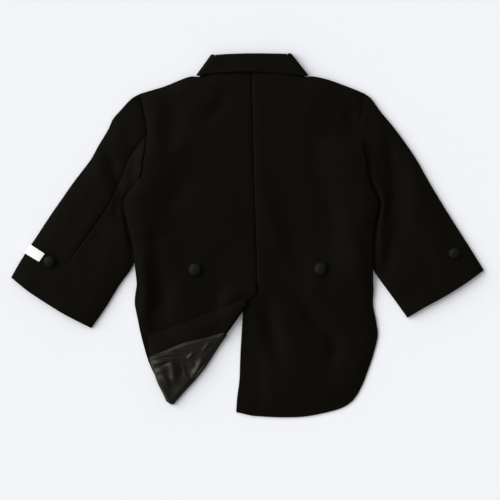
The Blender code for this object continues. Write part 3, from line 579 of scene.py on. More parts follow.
def tail_point(s, q, rolled):
    """Point of the left tail beside its fold.

    Before the roll q is read on the tail, with rolled at 0. Within the roll rolled goes from 0 to 1.
    On the flap q is read as seen from above, with rolled at 1.
    """
    top, along, out = fold_frame()
    start = fold_start(s)
    turn = math.pi * rolled
    place = q if rolled in (0, 1) else start
    place += FOLD_RADIUS * math.sin(turn)
    spot = top + along * s + out * place
    base = left_back_height(spot.x, spot.y)
    if rolled < 1:
        return Vector((*spot, base + FOLD_RADIUS * (1 - math.cos(turn))))
    settle = ease(0, FOLD_SETTLE, start - q)
    width = start - flap_edge(s)
    share = min(max((start - q) / width, 0.0), 1.0)
    lean = 1.0 + SWELL_LEAN * ease(*LEANING_S, s)
    swell = FLAP_SWELL * min(width / SWELL_WIDTH, 1.0) * math.sin(math.pi * share ** lean)
    return Vector((*spot, base + 2 * FOLD_RADIUS * (1 - settle) + LAY * settle + swell))


def flap_edge(s):
    """Free edge of the flap as seen from above."""
    return VENT_Q(s) if s < FLAP_VENT[-1][0] else HEM_Q(s)


# Shares across a panel, close together near its edges where it meets its neighbours
NEAR_EDGE = [0, 0.0025, 0.005, 0.008, 0.012, 0.018, 0.028, 0.044, 0.065, 0.09]
ACROSS = NEAR_EDGE + steps(24, 0.12, 0.88) + [1 - share for share in reversed(NEAR_EDGE)]
NEAR_TOP = [0, 0.003, 0.007, 0.012, 0.02, 0.03]
BODY_ROWS = NEAR_TOP + steps(30, 0.042, ARMHOLE_SHARE) + steps(24, ARMHOLE_SHARE, WAIST_SHARE)[1:]
FLAP_ROWS = steps(45, FLAP_FIRST, FOLD_LENGTH)
FLAP_ACROSS = [0, 0.02, 0.05, 0.09, 0.14] + steps(16, 0.2, 0.92) + [0.96, 0.985, 1]
ROLL = steps(10)
FOLD_GAPS = [0.25, 0.6, 1.0, 1.5, 2.3, 3.6, 5.5, 8, 11]   # distances from the fold of a sleeve's edge
SLEEVE_TOP = [0, 0.0015, 0.003, 0.005, 0.008, 0.013, 0.02, 0.03, 0.045]
SLEEVE_ROWS = SLEEVE_TOP + steps(60, 0.06, 0.985) + [0.992, 1]
SEAM_COLUMNS = [0, 0.005, 0.01, 0.016, 0.024, 0.038, 0.058] + steps(13, 0.08, 1)[:-1]
SATIN_ROWS = 70


def body_seam(gap):
    """Centre seam down to the underarm and on to the waist, moved aside by a gap."""
    seam, aside = smooth(CENTRE_SEAM), Vector((gap, 0))

    def upper(share):
        """Down to the underarm."""
        return seam(share * SEAM_AT_UNDERARM) + aside

    def lower(share):
        """From there to the waist."""
        return seam(SEAM_AT_UNDERARM + share * (1 - SEAM_AT_UNDERARM)) + aside

    return (upper, ARMHOLE_SHARE), (lower, WAIST_SHARE)


def build_back_left():
    """Left back with its tail, and the tail's corner folded over as a flap."""
    top, along, out = fold_frame()

    def fold(share):
        """Start of the fold, by the share of its length."""
        s = share * FOLD_LENGTH
        return top + along * s + out * fold_start(s)

    middle = chain(*body_seam(-SEWN / 2), (fold, 1))
    side = chain((smooth(LEFT_ARMHOLE), ARMHOLE_SHARE), (smooth(LEFT_SIDE), WAIST_SHARE),
                 (smooth(LEFT_TAIL), 1))
    plan = patch(side, middle, smooth(LEFT_SHOULDER), straight(side(1), middle(1)))
    rows = BODY_ROWS + [WAIST_SHARE + (1 - WAIST_SHARE) * s / FOLD_LENGTH
                        for s in steps(4, 0, FLAP_FIRST)[1:-1] + FLAP_ROWS]
    sheet = Sheet()
    sheet.grid(lifted(plan, left_back_height, ACROSS, rows))
    flap = []
    for s in FLAP_ROWS:
        first, last = fold_start(s), flap_edge(s)
        roll = [tail_point(s, first, share) for share in ROLL]
        flat = [tail_point(s, first + (last - first) * share, 1) for share in FLAP_ACROSS[1:]]
        flap.append(roll + flat)
    sheet.grid(flap)
    return sheet


def build_back_right():
    """Right back with its tail and the underlap of the vent."""
    tail, aside = smooth(CENTRE_TAIL), Vector((SEWN / 2, 0))
    middle = chain(*body_seam(SEWN / 2), (lambda share: tail(share) + aside, 1))
    side = chain((smooth(RIGHT_ARMHOLE), ARMHOLE_SHARE), (smooth(RIGHT_SIDE), WAIST_SHARE),
                 (smooth(RIGHT_TAIL), 1))
    plan = patch(middle, side, smooth(RIGHT_SHOULDER), smooth(RIGHT_HEM))
    tail_rows = steps(42, WAIST_SHARE, 0.985) + [0.993, 1]
    sheet = Sheet()
    sheet.grid(lifted(plan, back_height, ACROSS, BODY_ROWS + tail_rows[1:]))
    vent = smooth(UNDERLAP)
    strip = []
    for v in tail_rows:
        start, end = vent((v - WAIST_SHARE) / (1 - WAIST_SHARE)), plan(0, v)
        flat = [start.lerp(end, share) for share in [0, 0.04, 0.1, 0.2] + steps(5, 0.35, 1)]
        strip.append([Vector((p.x, p.y, back_height(p.x, p.y))) for p in flat])
    sheet.grid(strip)
    return sheet


def build_front(armhole, side, edge):
    """Front under the back, cut away at the waist."""
    outer = chain((smooth(armhole), FRONT_ARMHOLE_SHARE), (smooth(side), 1))
    edge = smooth(edge)
    plan = patch(outer, edge, straight(outer(0), edge(0)), straight(outer(1), edge(1)))
    sheet = Sheet()
    sheet.grid(lifted(plan, front_height, ACROSS[::2], steps(64)))
    return sheet


def build_lapel(edge, roll):
    """Lapel turned back on the front, on the side that lies down."""
    outer, roll = smooth(edge), smooth(roll)
    start, length = LAPEL_ROLL

    def crease(share):
        """Roll line, by the share of the lapel's length."""
        return roll(start + length * share)

    plan = patch(outer, crease, straight(outer(0), crease(0)), straight(outer(1), crease(1)))
    sheet = Sheet()
    sheet.grid(lifted(plan, lambda x, y: CLOTH / 2, steps(16), steps(36)))
    return sheet


def collar_strip(share, across):
    """Point in the plane of the collar's fall, from its crease to its outer edge."""
    return smooth(COLLAR_CREASE)(share).lerp(smooth(COLLAR_EDGE)(share), across)


def build_collar():
    """Collar: the stand, the crease and the fall, whose ends pass round the neck to the front."""
    low, high = CLOTH / 2, COLLAR_TOP
    turn_radius = (high - low) / 2
    stand = back_height(CENTRE_X, COLLAR_NECK_Y)
    crease_radius = (high - stand) / 2
    turn, front = steps(10), steps(12)
    middle = [0.0, COLLAR_ENDS[0]] + steps(36, 0.035, 0.965) + [COLLAR_ENDS[1], 1.0]
    sheet = Sheet()

    def turned(side, across, share):
        """Point of the turn round the neck, on a half circle from the fall to the front end."""
        edge = collar_strip(side, across)
        out = 1 if side else -1
        angle = math.pi * share
        x = edge.x + out * (turn_radius * (math.sin(angle) - 1) - CLOTH / 2)
        z = low + turn_radius * (1 + math.cos(angle))
        return Vector((x, edge.y, z - COLLAR_DROP * across * (1 + math.cos(angle)) / 2))

    rows = []
    for across in COLLAR_ACROSS:
        left_top, right_top = turned(0, across, 0), turned(1, across, 0)
        back = [left_top]
        for share in middle[1:-1]:
            spot = collar_strip(share, across)
            shift = left_top.x - collar_strip(0, across).x
            shift *= 1 - ease(0, 0.25, min(share, 1 - share))
            spot.x += shift if share < 0.5 else -shift
            drop = (crease_radius + CLOTH / 2) * (1 - across)
            soft = creases(COLLAR_FOLDS, spot.x, spot.y, COLLAR_WAVER)
            lean = COLLAR_DROP * across * ease(0.4, 0, min(share, 1 - share))
            back.append(Vector((spot.x, spot.y - drop, high + soft * ease(0, 0.3, across) - lean)))
        back.append(right_top)
        ends = []
        for side, (near, far) in enumerate((COLLAR_END_LEFT, COLLAR_END_RIGHT)):
            curve = [turned(side, across, share) for share in turn]
            end = Vector((*Vector(near).lerp(Vector(far), across), low))
            ends.append(curve[1:] + [curve[-1].lerp(end, share) for share in front[1:]])
        rows.append(ends[0][::-1] + back + ends[1])
    sheet.grid(rows)

    first = len(turn) + len(front) - 1
    crease = rows[0][first:first + len(middle) - 2]
    hairpin = [crease]
    for share in steps(8)[1:]:
        angle = math.pi * share
        hairpin.append([Vector((p.x, p.y + crease_radius * math.sin(angle),
                                high - crease_radius * (1 - math.cos(angle)))) for p in crease])
    last = hairpin[-1]
    for share in steps(6)[1:]:
        hairpin.append([Vector((p.x, p.y + (COLLAR_NECK_Y + SEAM - p.y) * share, p.z)) for p in last])
    sheet.grid(hairpin[::-1])
    return sheet


class Sleeve:
    """Sleeve laid flat: a tube pressed to two layers, read along its length and round it."""

    def __init__(self, head, outer, inner, cuff, dip):
        outer, inner = smooth(outer), smooth(inner)
        self.outer = drawn_in(outer, inner, CLOTH / 2)
        self.inner = drawn_in(inner, outer, CLOTH / 2)
        self.head = smooth(head)
        self.plan = patch(self.outer, self.inner, self.head, smooth(cuff))
        self.dip = dip

    def scale(self, fold, v):
        """Distance from an edge's line for each whole turn, where fold is 0 outside or 1 inside."""
        edge = self.inner if fold == 1 else self.outer
        low, high = max(v - EDGE_PROBE, 0.0), min(v + EDGE_PROBE, 1.0)
        along = (edge(high) - edge(low)).normalized()
        across = (self.plan(EDGE_PROBE, v) - self.plan(0, v) if fold != 1
                  else self.plan(1, v) - self.plan(1 - EDGE_PROBE, v))
        return abs(along.cross(across)) / EDGE_PROBE

    def height(self, u, v, upper):
        """Middle of the upper or lower layer."""
        near = min(u * self.scale(0, v), (1 - u) * self.scale(1, v))
        flat = min(near / EDGE_RADIUS, 1.0)
        half = EDGE_RADIUS * math.sqrt(max(1 - (1 - flat) ** 2, 0.0))
        centre = CLOTH / 2 + EDGE_RADIUS
        if not upper:
            return centre - half
        spot = self.plan(u, v)
        rise = rounded(near / SLEEVE_ROUND)
        soft = creases(SLEEVE_FOLDS + FINE_SLEEVE_FOLDS, spot.x, spot.y)
        free = centre + half + (SLEEVE_EASE + soft) * rise
        sewn = self.head(u)
        depth = armhole_dip(sewn.x)
        sewn_height = back_height(sewn.x, sewn.y) + depth * ease(*ARMHOLE_GROOVE_Y, sewn.y)
        sewn_height += (centre + half - sewn_height) * ease(*SHOULDER_POINT, u)
        full = sewn_height + (free - sewn_height) * ease(*FREE_OF_HEAD, v)
        outside = -inset(spot.x, spot.y)
        level = ease(*UNDERARM_LEVEL_Y, spot.y) * ease(*PAST_ARMHOLE, outside)
        clear = max(ease(*CLEAR_OF_BODY, outside), ease(*CLEAR_ACROSS, u), level)
        seam = groove((u - ELBOW_SEAM) * self.scale(0, v), self.dip) * rise
        seam *= ease(*ELBOW_GROOVE_Y, spot.y)
        seam += groove((spot - sewn).length, depth) * ease(*ARMHOLE_GROOVE_Y, spot.y)
        return centre + half + (full - centre - half + seam) * clear

    def point(self, turn, v):
        """Point of the tube. Turn is 0 to 1 over the upper layer, 1 to 2 back under it."""
        turn %= 2
        upper = turn <= 1
        u = turn if upper else 2 - turn
        spot = self.plan(u, v)
        return Vector((spot.x, spot.y, self.height(u, v, upper)))

    def row(self, fold, first, last, v):
        """Row of points from one turn to another, close together round the fold between them."""
        scale = self.scale(fold, v)
        gaps = [gap / scale for gap in FOLD_GAPS]
        before = [fold - gap for gap in reversed(gaps)]
        after = [fold + gap for gap in gaps]
        first, last = first + SEWN / 2 / scale, last - SEWN / 2 / scale
        far = [first + (before[0] - first) * share for share in SEAM_COLUMNS]
        late = [last + (after[-1] - last) * share for share in SEAM_COLUMNS]
        return [self.point(turn, v) for turn in far + before + [fold] + after + late[::-1]]

    def sheet(self, fold, first, last):
        """One sewn piece of the tube."""
        sheet = Sheet()
        sheet.grid([self.row(fold, first, last, v) for v in SLEEVE_ROWS])
        return sheet


def sleeve_of(side):
    """Left or right sleeve."""
    if side == "left":
        return Sleeve(LEFT_SLEEVE_HEAD, LEFT_SLEEVE_OUTER, LEFT_SLEEVE_INNER, LEFT_CUFF, SEAM_DIP)
    return Sleeve(RIGHT_SLEEVE_HEAD, RIGHT_SLEEVE_OUTER, RIGHT_SLEEVE_INNER, RIGHT_CUFF, FAINT_DIP)


def slanted(sleeve, turn, v):
    """Point of the sleeve under the label, moved up towards the middle of the sleeve's width."""
    return sleeve.point(turn, v - LABEL_SLANT * turn)


def build_label(sleeve):
    """Woven ribbon round the outer edge of the left sleeve, bare."""
    rows = []
    for v in steps(10, *LABEL_SPAN):
        scale = sleeve.scale(0, v)
        turns = [gap / scale for gap in LABEL_GAPS] + steps(14, LABEL_FLAT / scale, LABEL_REACH)
        row = [slanted(sleeve, turn, v) for turn in turns]
        moved = []
        for k, spot in enumerate(row):
            before, after = row[max(k - 1, 0)], row[min(k + 1, len(row) - 1)]
            along = slanted(sleeve, turns[k], v - 0.01) - slanted(sleeve, turns[k], v + 0.01)
            moved.append(spot + (after - before).cross(along).normalized() * ON_CLOTH)
        rows.append(moved)
    sheet = Sheet()
    sheet.grid(rows)
    return sheet


def flap_sheet(starts, ends, rows, rolled_shares, across, table, loft):
    """Piece sewn on the flap, made from the flap's points moved out to its lining side.

    The loft lifts its middle, into which the table's creases are laid.
    """
    out = fold_frame()[2]
    sheet_rows = []
    for s in rows:
        first, last = starts(s), ends(s)
        places = [(share, first) for share in rolled_shares]
        places += [(1, first + (last - first) * share) for share in across]
        row = []
        for rolled, q in places:
            turn = math.pi * rolled
            normal = Vector((out.x * math.sin(turn), out.y * math.sin(turn), -math.cos(turn)))
            soft = 0.0
            spot = tail_point(s, q, rolled)
            if rolled == 1:
                over = tail_point(s, q - 0.5, 1) - tail_point(s, q + 0.5, 1)
                down = tail_point(s + 0.5, q, 1) - tail_point(s - 0.5, q, 1)
                normal = over.cross(down).normalized()
                normal = normal if normal.z > 0 else -normal
                edge = min(abs(q - first) + 2, abs(q - last))
                soft = max(loft + creases(table, spot.x, spot.y, SATIN_WAVER), 0.0)
                soft *= ease(0, LOFT_EDGE, edge)
            row.append(spot + normal * (ON_CLOTH + FLAP_GAP + soft))
        sheet_rows.append(row)
    sheet = Sheet()
    sheet.grid(sheet_rows)
    return sheet


def build_facing():
    """Facing along the vent edge, turned up on the folded corner."""
    seam_top = FACING_SEAM[0][0]
    return flap_sheet(lambda s: (fold_start(s) if s <= seam_top else FACING_Q(s)) - SEWN,
                      lambda s: flap_edge(s) + FACING_INSET,
                      steps(10, FLAP_FIRST, seam_top) + steps(24, seam_top, FACING_END)[1:],
                      [], FLAP_ACROSS, [], 0.0)


def build_lining():
    """Satin lining below the facing, which goes into the fold."""
    seam_end = FACING_SEAM[-1][0]
    return flap_sheet(fold_start,
                      lambda s: FACING_Q(s) if s < seam_end else flap_edge(s) + LINING_INSET,
                      steps(SATIN_ROWS, *LINING_SPAN), [0.5, 0.57, 0.65, 0.73, 0.82, 0.91],
                      [0, 0.015, 0.04] + steps(44, 0.07, 0.95) + [0.975, 0.99, 1], SATIN_FOLDS,
                      LINING_LOFT)


def linked(tree, kind, inputs=None, **settings):
    """New node with its settings and the values of its inputs."""
    node = tree.nodes.new(kind)
    for name, value in settings.items():
        setattr(node, name, value)
    for name, value in (inputs or {}).items():
        node.inputs[name].default_value = value
    return node


def new_material(name, colour, finish):
    """Material with a plain shader, its tree and the shader."""
    roughness, shine, tint = finish
    made = bpy.data.materials.new(name)
    made.use_nodes = True
    shader = made.node_tree.nodes["Principled BSDF"]
    shader.inputs["Base Color"].default_value = (*colour, 1)
    shader.inputs["Roughness"].default_value = roughness
    shader.inputs["Specular IOR Level"].default_value = shine
    shader.inputs["Specular Tint"].default_value = (*tint, 1)
    return made, made.node_tree, shader


def mottled(tree, shader, colour, place, size, amount):
    """Faint unevenness of a colour, in soft spots."""
    spots = linked(tree, "ShaderNodeTexNoise", {"Scale": 1 / size, "Detail": 4.0, "Roughness": 0.6})
    mix = linked(tree, "ShaderNodeMix", data_type="RGBA")
    mix.inputs[6].default_value = (*[part * (1 - amount) for part in colour], 1)
    mix.inputs[7].default_value = (*[part * (1 + amount) for part in colour], 1)
    tree.links.new(place, spots.inputs["Vector"])
    tree.links.new(spots.outputs["Fac"], mix.inputs["Factor"])
    tree.links.new(mix.outputs[2], shader.inputs["Base Color"])


def bumped(tree, shader, layers):
    """Bump from several heights, each given with its depth in metres."""
    normal = None
    for height, depth in layers:
        bump = linked(tree, "ShaderNodeBump", {"Strength": 1.0, "Distance": depth})
        tree.links.new(height, bump.inputs["Height"])
        if normal is not None:
            tree.links.new(normal, bump.inputs["Normal"])
        normal = bump.outputs["Normal"]
    tree.links.new(normal, shader.inputs["Normal"])


def cloth_place(tree):
    """Place on the cloth, in metres."""
    return linked(tree, "ShaderNodeUVMap", uv_map=WEAVE_MAP).outputs["UV"]


def ribs(tree, place, spacing, direction):
    """Fine ribs of a weave, spacing metres apart."""
    per_unit = DIAGONAL_BANDS if direction == "DIAGONAL" else STRAIGHT_BANDS
    wave = linked(tree, "ShaderNodeTexWave", {"Scale": per_unit / spacing, "Distortion": 0.6,
                                              "Detail": 1.0}, bands_direction=direction)
    tree.links.new(place, wave.inputs["Vector"])
    return wave.outputs["Fac"]


def cloth_material(name, colour, weave, finish=WOOL_FINISH):
    """Wool cloth: a fine twill with a soft uneven nap."""
    made, tree, shader = new_material(name, colour, finish)
    place = cloth_place(tree)
    mottled(tree, shader, colour, place, *WOOL_SPOTS)
    nap = linked(tree, "ShaderNodeTexNoise", {"Scale": NAP_SCALE, "Detail": 3.0})
    tree.links.new(place, nap.inputs["Vector"])
    bumped(tree, shader, [(ribs(tree, place, weave, "DIAGONAL"), TWILL_DEPTH),
                          (nap.outputs["Fac"], NAP_DEPTH)])
    return made


def satin_material(name, colour, weave):
    """Satin: glossy, with fine threads and small soft creases."""
    made, tree, shader = new_material(name, colour, SATIN_FINISH)
    shader.inputs["Anisotropic"].default_value = SATIN_ANISOTROPY
    place = cloth_place(tree)
    turned = linked(tree, "ShaderNodeMapping", {
        "Rotation": (0, 0, math.radians(SATIN_CREASE_TURN)), "Scale": SATIN_CREASE_SCALE})
    small = linked(tree, "ShaderNodeTexNoise", {"Scale": 1.0, "Detail": 2.0, "Roughness": 0.45})
    tree.links.new(place, turned.inputs["Vector"])
    tree.links.new(turned.outputs["Vector"], small.inputs["Vector"])
    mottled(tree, shader, colour, place, *SATIN_SPOTS)
    bumped(tree, shader, [(small.outputs["Fac"], SATIN_CREASE_DEPTH),
                          (ribs(tree, place, weave, "Y"), SATIN_THREAD_DEPTH)])
    return made


def ribbon_material(name, colour, weave):
    """Woven ribbon with ribs across it."""
    made, tree, shader = new_material(name, colour, RIBBON_FINISH)
    place = cloth_place(tree)
    mottled(tree, shader, colour, place, *RIBBON_SPOTS)
    bumped(tree, shader, [(ribs(tree, place, weave, direction), depth)
                          for direction, depth in zip("XY", RIBBON_DEPTHS)])
    return made


def add_piece(node, kind, shape, look, grain=0.0):
    """Object made of a bmesh, standing for one CAD node. Grain turns the weave, in degrees."""
    mesh = bpy.data.meshes.new(node + "_" + kind)
    shape.to_mesh(mesh)
    shape.free()
    mesh.shade_smooth()
    mesh.materials.append(look)
    turn = math.radians(grain)
    weave = mesh.uv_layers.new(name=WEAVE_MAP)
    for loop in mesh.loops:
        x, y, _ = mesh.vertices[loop.vertex_index].co
        weave.data[loop.index].uv = (x * math.cos(turn) + y * math.sin(turn),
                                     y * math.cos(turn) - x * math.sin(turn))
    piece = bpy.data.objects.new(mesh.name, mesh)
    bpy.context.scene.collection.objects.link(piece)
    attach(piece, BODY)
    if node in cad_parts:
        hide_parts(node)
    return piece


def add_cloth(node, sheet, thickness, look, grain=0.0, kind="cloth"):
    """Piece of cloth, rounded along its edges, with the size that it was cut to."""
    piece = add_piece(node, kind, sheet.wall(thickness), look, grain)
    if node not in COARSE:
        smoothing = piece.modifiers.new("Rounded edges", "SUBSURF")
        smoothing.levels = smoothing.render_levels = 1
    return piece


def spun_button(x, y, diameter, ground):
    """Domed button whose cloth is gathered under its rim."""
    shape = bmesh.new()
    radius = diameter / 2
    profile = smooth(BUTTON_PROFILE)
    rings = []
    for share in steps(BUTTON_RINGS):
        r, z = profile(share)
        if share in (0, 1):
            rings.append([shape.verts.new(Vector((x, y, ground + z * radius)) * MM)])
            continue
        ring = []
        gather = BUTTON_GATHER * ease(0.9, 0.35, z) * ease(0.3, 0.9, r)
        for k in range(BUTTON_SIDES):
            angle = 2 * math.pi * k / BUTTON_SIDES
            reach = radius * r * (1 + gather * math.sin(BUTTON_PLEATS * angle + math.sin(3 * angle)))
            spot = Vector((x + reach * math.cos(angle), y + reach * math.sin(angle), ground + z * radius))
            ring.append(shape.verts.new(spot * MM))
        rings.append(ring)
    for lower, upper in zip(rings, rings[1:]):
        for k in range(BUTTON_SIDES):
            n = (k + 1) % BUTTON_SIDES
            corners = [lower[k % len(lower)], lower[n % len(lower)], upper[n % len(upper)],
                       upper[k % len(upper)]]
            shape.faces.new(list(dict.fromkeys(corners)))
    bmesh.ops.recalc_face_normals(shape, faces=shape.faces)
    return shape


def stitch_tree():
    """Geometry Nodes tree that lays stitches along a line."""
    tree = bpy.data.node_groups.new("Stitches along a line", "GeometryNodeTree")
    faces = tree.interface
    faces.new_socket("Line", in_out="INPUT", socket_type="NodeSocketGeometry")
    for name, default in (("Spacing", 0.003), ("Length", 0.002), ("Thread", 0.0004), ("Lean", 0.0)):
        socket = faces.new_socket(name, in_out="INPUT", socket_type="NodeSocketFloat")
        socket.default_value = default
    faces.new_socket("Material", in_out="INPUT", socket_type="NodeSocketMaterial")
    faces.new_socket("Stitches", in_out="OUTPUT", socket_type="NodeSocketGeometry")
    given = linked(tree, "NodeGroupInput")
    curve = linked(tree, "GeometryNodeMeshToCurve")
    spread = linked(tree, "GeometryNodeResampleCurve", mode="LENGTH")
    ball = linked(tree, "GeometryNodeMeshUVSphere", {"Segments": 8, "Rings": 6, "Radius": 0.5})
    tangent = linked(tree, "GeometryNodeInputTangent")
    aligned = linked(tree, "FunctionNodeAlignRotationToVector", axis="X", pivot_axis="Z")
    lean = linked(tree, "ShaderNodeCombineXYZ")
    to_turn = linked(tree, "FunctionNodeEulerToRotation")
    leaned = linked(tree, "FunctionNodeRotateRotation", rotation_space="LOCAL")
    size = linked(tree, "ShaderNodeCombineXYZ")
    put = linked(tree, "GeometryNodeInstanceOnPoints")
    real = linked(tree, "GeometryNodeRealizeInstances")
    smooth_ball = linked(tree, "GeometryNodeSetShadeSmooth")
    dyed = linked(tree, "GeometryNodeSetMaterial")
    result = linked(tree, "NodeGroupOutput")
    for start, output, end, entry in (
            (given, "Line", curve, "Mesh"), (curve, "Curve", spread, "Curve"),
            (given, "Spacing", spread, "Length"), (spread, "Curve", put, "Points"),
            (ball, "Mesh", smooth_ball, "Geometry"), (smooth_ball, "Geometry", put, "Instance"),
            (tangent, "Tangent", aligned, "Vector"),
            (given, "Lean", lean, "Z"), (lean, "Vector", to_turn, "Euler"),
            (aligned, "Rotation", leaned, "Rotation"), (to_turn, "Rotation", leaned, "Rotate By"),
            (leaned, "Rotation", put, "Rotation"), (given, "Length", size, "X"),
            (given, "Thread", size, "Y"), (given, "Thread", size, "Z"),
            (size, "Vector", put, "Scale"), (put, "Instances", real, "Geometry"),
            (real, "Geometry", dyed, "Geometry"),
            (given, "Material", dyed, "Material"), (dyed, "Geometry", result, "Stitches")):
        tree.links.new(start.outputs[output], end.inputs[entry])
    return tree


def add_stitches(name, tree, line, sizes, look):
    """Row of stitches along a line of points in millimetres, made a plain mesh."""
    path = bpy.data.meshes.new(name + "_line")
    path.from_pydata([point * MM for point in line], [(k, k + 1) for k in range(len(line) - 1)], [])
    carrier = bpy.data.objects.new(name + "_line", path)
    bpy.context.scene.collection.objects.link(carrier)
    modifier = carrier.modifiers.new("Stitches", "NODES")
    modifier.node_group = tree
    values = {**sizes, "Material": look}
    for item in tree.interface.items_tree:
        if item.in_out == "INPUT" and item.name in values:
            modifier[item.identifier] = values[item.name]
    shown = carrier.evaluated_get(bpy.context.evaluated_depsgraph_get())
    mesh = bpy.data.meshes.new_from_object(shown)
    mesh.name = name
    bpy.data.objects.remove(carrier, do_unlink=True)
    piece = bpy.data.objects.new(name, mesh)
    bpy.context.scene.collection.objects.link(piece)
    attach(piece, BODY)
    return piece


def button_ground(node, x, y):
    """Height at which a button sits."""
    if node.startswith("button_back"):
        return back_height(x, y) + CLOTH / 2 + SEAM
    return CLOTH + 2 * EDGE_RADIUS + SLEEVE_EASE + SEAM


def above_flap(s, q):
    """Point on top of the pieces that are sewn on the flap."""
    return tail_point(s, q, 1) + Vector((0, 0, ON_CLOTH + THIN / 2 + STITCH_RISE))


def on_label(sleeve, turn, v):
    """Point on top of the label."""
    return slanted(sleeve, turn, v) + Vector((0, 0, ON_CLOTH + THIN / 2 + STITCH_RISE))


def size_property(name, description, default, low, high):
    """Length that a user may change, in metres."""
    return bpy.props.FloatProperty(name=name, description=description, default=default, min=low,
                                   max=high, subtype="DISTANCE", unit="LENGTH", precision=5)


def colour_property(name, description, default):
    """Colour that a user may change, in linear light."""
    return bpy.props.FloatVectorProperty(name=name, description=description, default=default,
                                         size=3, min=0.0, max=1.0, subtype="COLOR")


class TailcoatSizes(bpy.types.PropertyGroup):
    """Sizes of the coat's cloth and stitches."""
    cloth: size_property(
        "Wool cloth", "Thickness of the wool cloth", CLOTH * MM, 0.001, 0.003)
    thin_cloth: size_property(
        "Thin cloth", "Thickness of the lining, the facing and the label", THIN * MM, 0.0005, 0.0015)
    twill: size_property(
        "Twill", "Distance between the wool cloth's diagonal ribs", 0.0007, 0.0003, 0.003)
    ribbon_rib: size_property(
        "Ribbon rib", "Distance between the label ribbon's ribs", 0.0005, 0.0003, 0.002)
    stitch_spacing: size_property(
        "Stitch spacing", "Distance from one stitch to the next on the lining", 0.0034, 0.001, 0.01)
    stitch_length: size_property(
        "Stitch length", "Length of thread that shows in one stitch", 0.0019, 0.0005, 0.008)
    thread: size_property(
        "Thread", "Thickness of the sewing thread", 0.00035, 0.0001, 0.001)


class TailcoatColours(bpy.types.PropertyGroup):
    """Colours of the coat and of the floor."""
    cloth: colour_property("Wool cloth", "Colour of the wool cloth", (0.0024, 0.0021, 0.0014))
    satin: colour_property("Satin", "Colour of the satin lining", (0.0024, 0.0021, 0.0014))
    button: colour_property("Buttons", "Colour of the cloth over the buttons", (0.0042, 0.0050, 0.0034))
    label: colour_property("Label", "Colour of the woven label", (0.80, 0.80, 0.79))
    black_thread: colour_property("Black thread", "Colour of the lining's stitches", (0.008, 0.007, 0.006))
    white_thread: colour_property("White thread", "Colour of the label's stitches", (0.70, 0.70, 0.68))
    floor: colour_property("Floor", "Colour of the floor", (0.79, 0.797, 0.82))


def chosen(context):
    """Sizes and colours in the panel."""
    return context.scene.tailcoat_sizes, context.scene.tailcoat_colours


class TAILCOAT_OT_backs(bpy.types.Operator):
    """Builds both back panels with their tails"""
    bl_idname = "tailcoat.backs"
    bl_label = "Backs and tails"

    def execute(self, context):
        """Left back with its folded corner, and right back with its underlap."""
        sizes, colours = chosen(context)
        look = cloth_material("wool_cloth_backs", colours.cloth, sizes.twill)
        wall = sizes.cloth / MM
        add_cloth("back_right", build_back_right(), wall, look)
        add_cloth("back_left", build_back_left(), wall, look)
        return {"FINISHED"}


class TAILCOAT_OT_fronts(bpy.types.Operator):
    """Builds both fronts, which lie under the backs, and their lapels"""
    bl_idname = "tailcoat.fronts"
    bl_label = "Fronts and lapels"

    def execute(self, context):
        """A front and a lapel on each side."""
        sizes, colours = chosen(context)
        look = cloth_material("wool_cloth_fronts", colours.cloth, sizes.twill)
        wall = sizes.cloth / MM
        for side, armhole, seam, edge, lapel in (
                ("left", LEFT_ARMHOLE, LEFT_SIDE, LEFT_FRONT_EDGE, LEFT_LAPEL_EDGE),
                ("right", RIGHT_ARMHOLE, RIGHT_SIDE, RIGHT_FRONT_EDGE, RIGHT_LAPEL_EDGE)):
            add_cloth("front_" + side, build_front(armhole, seam, edge), wall, look)
            add_cloth("lapel_" + side, build_lapel(lapel, edge), wall, look)
        return {"FINISHED"}


class TAILCOAT_OT_collar(bpy.types.Operator):
    """Builds the turn-down collar"""
    bl_idname = "tailcoat.collar"
    bl_label = "Collar"

    def execute(self, context):
        """Fall, crease and stand in one piece."""
        sizes, colours = chosen(context)
        look = cloth_material("wool_cloth_collar", colours.cloth, sizes.twill)
        add_cloth("collar", build_collar(), sizes.cloth / MM, look,
                  COLLAR_GRAIN)
        return {"FINISHED"}


class TAILCOAT_OT_sleeves(bpy.types.Operator):
    """Builds both sleeves, each sewn from a top and an under piece"""
    bl_idname = "tailcoat.sleeves"
    bl_label = "Sleeves"

    def execute(self, context):
        """Top piece round the outer edge and under piece round the inner edge."""
        sizes, colours = chosen(context)
        look = cloth_material("wool_cloth_sleeves", colours.cloth, sizes.twill)
        wall = sizes.cloth / MM
        for side, grain in SLEEVE_GRAIN:
            sleeve = sleeve_of(side)
            top = sleeve.sheet(0, -FRONT_SEAM, ELBOW_SEAM)
            under = sleeve.sheet(1, ELBOW_SEAM, 2 - FRONT_SEAM)
            add_cloth("sleeve_under_" + side, under, wall, look, grain)
            add_cloth("sleeve_top_" + side, top, wall, look, grain)
        return {"FINISHED"}


class TAILCOAT_OT_folded_corner(bpy.types.Operator):
    """Builds the facing and the satin lining on the folded corner of the left tail"""
    bl_idname = "tailcoat.folded_corner"
    bl_label = "Facing and lining"

    def execute(self, context):
        """Facing of wool cloth, and satin that goes into the fold."""
        sizes, colours = chosen(context)
        thin = sizes.thin_cloth / MM
        cloth = cloth_material("wool_cloth_facing", colours.cloth, sizes.twill)
        satin = satin_material("satin_lining", colours.satin, sizes.twill / 2)
        add_cloth("vent_facing_left", build_facing(), thin, cloth,
                  FLAP_GRAIN)
        add_cloth("tail_lining_left", build_lining(), thin, satin,
                  FLAP_GRAIN, "satin")
        return {"FINISHED"}


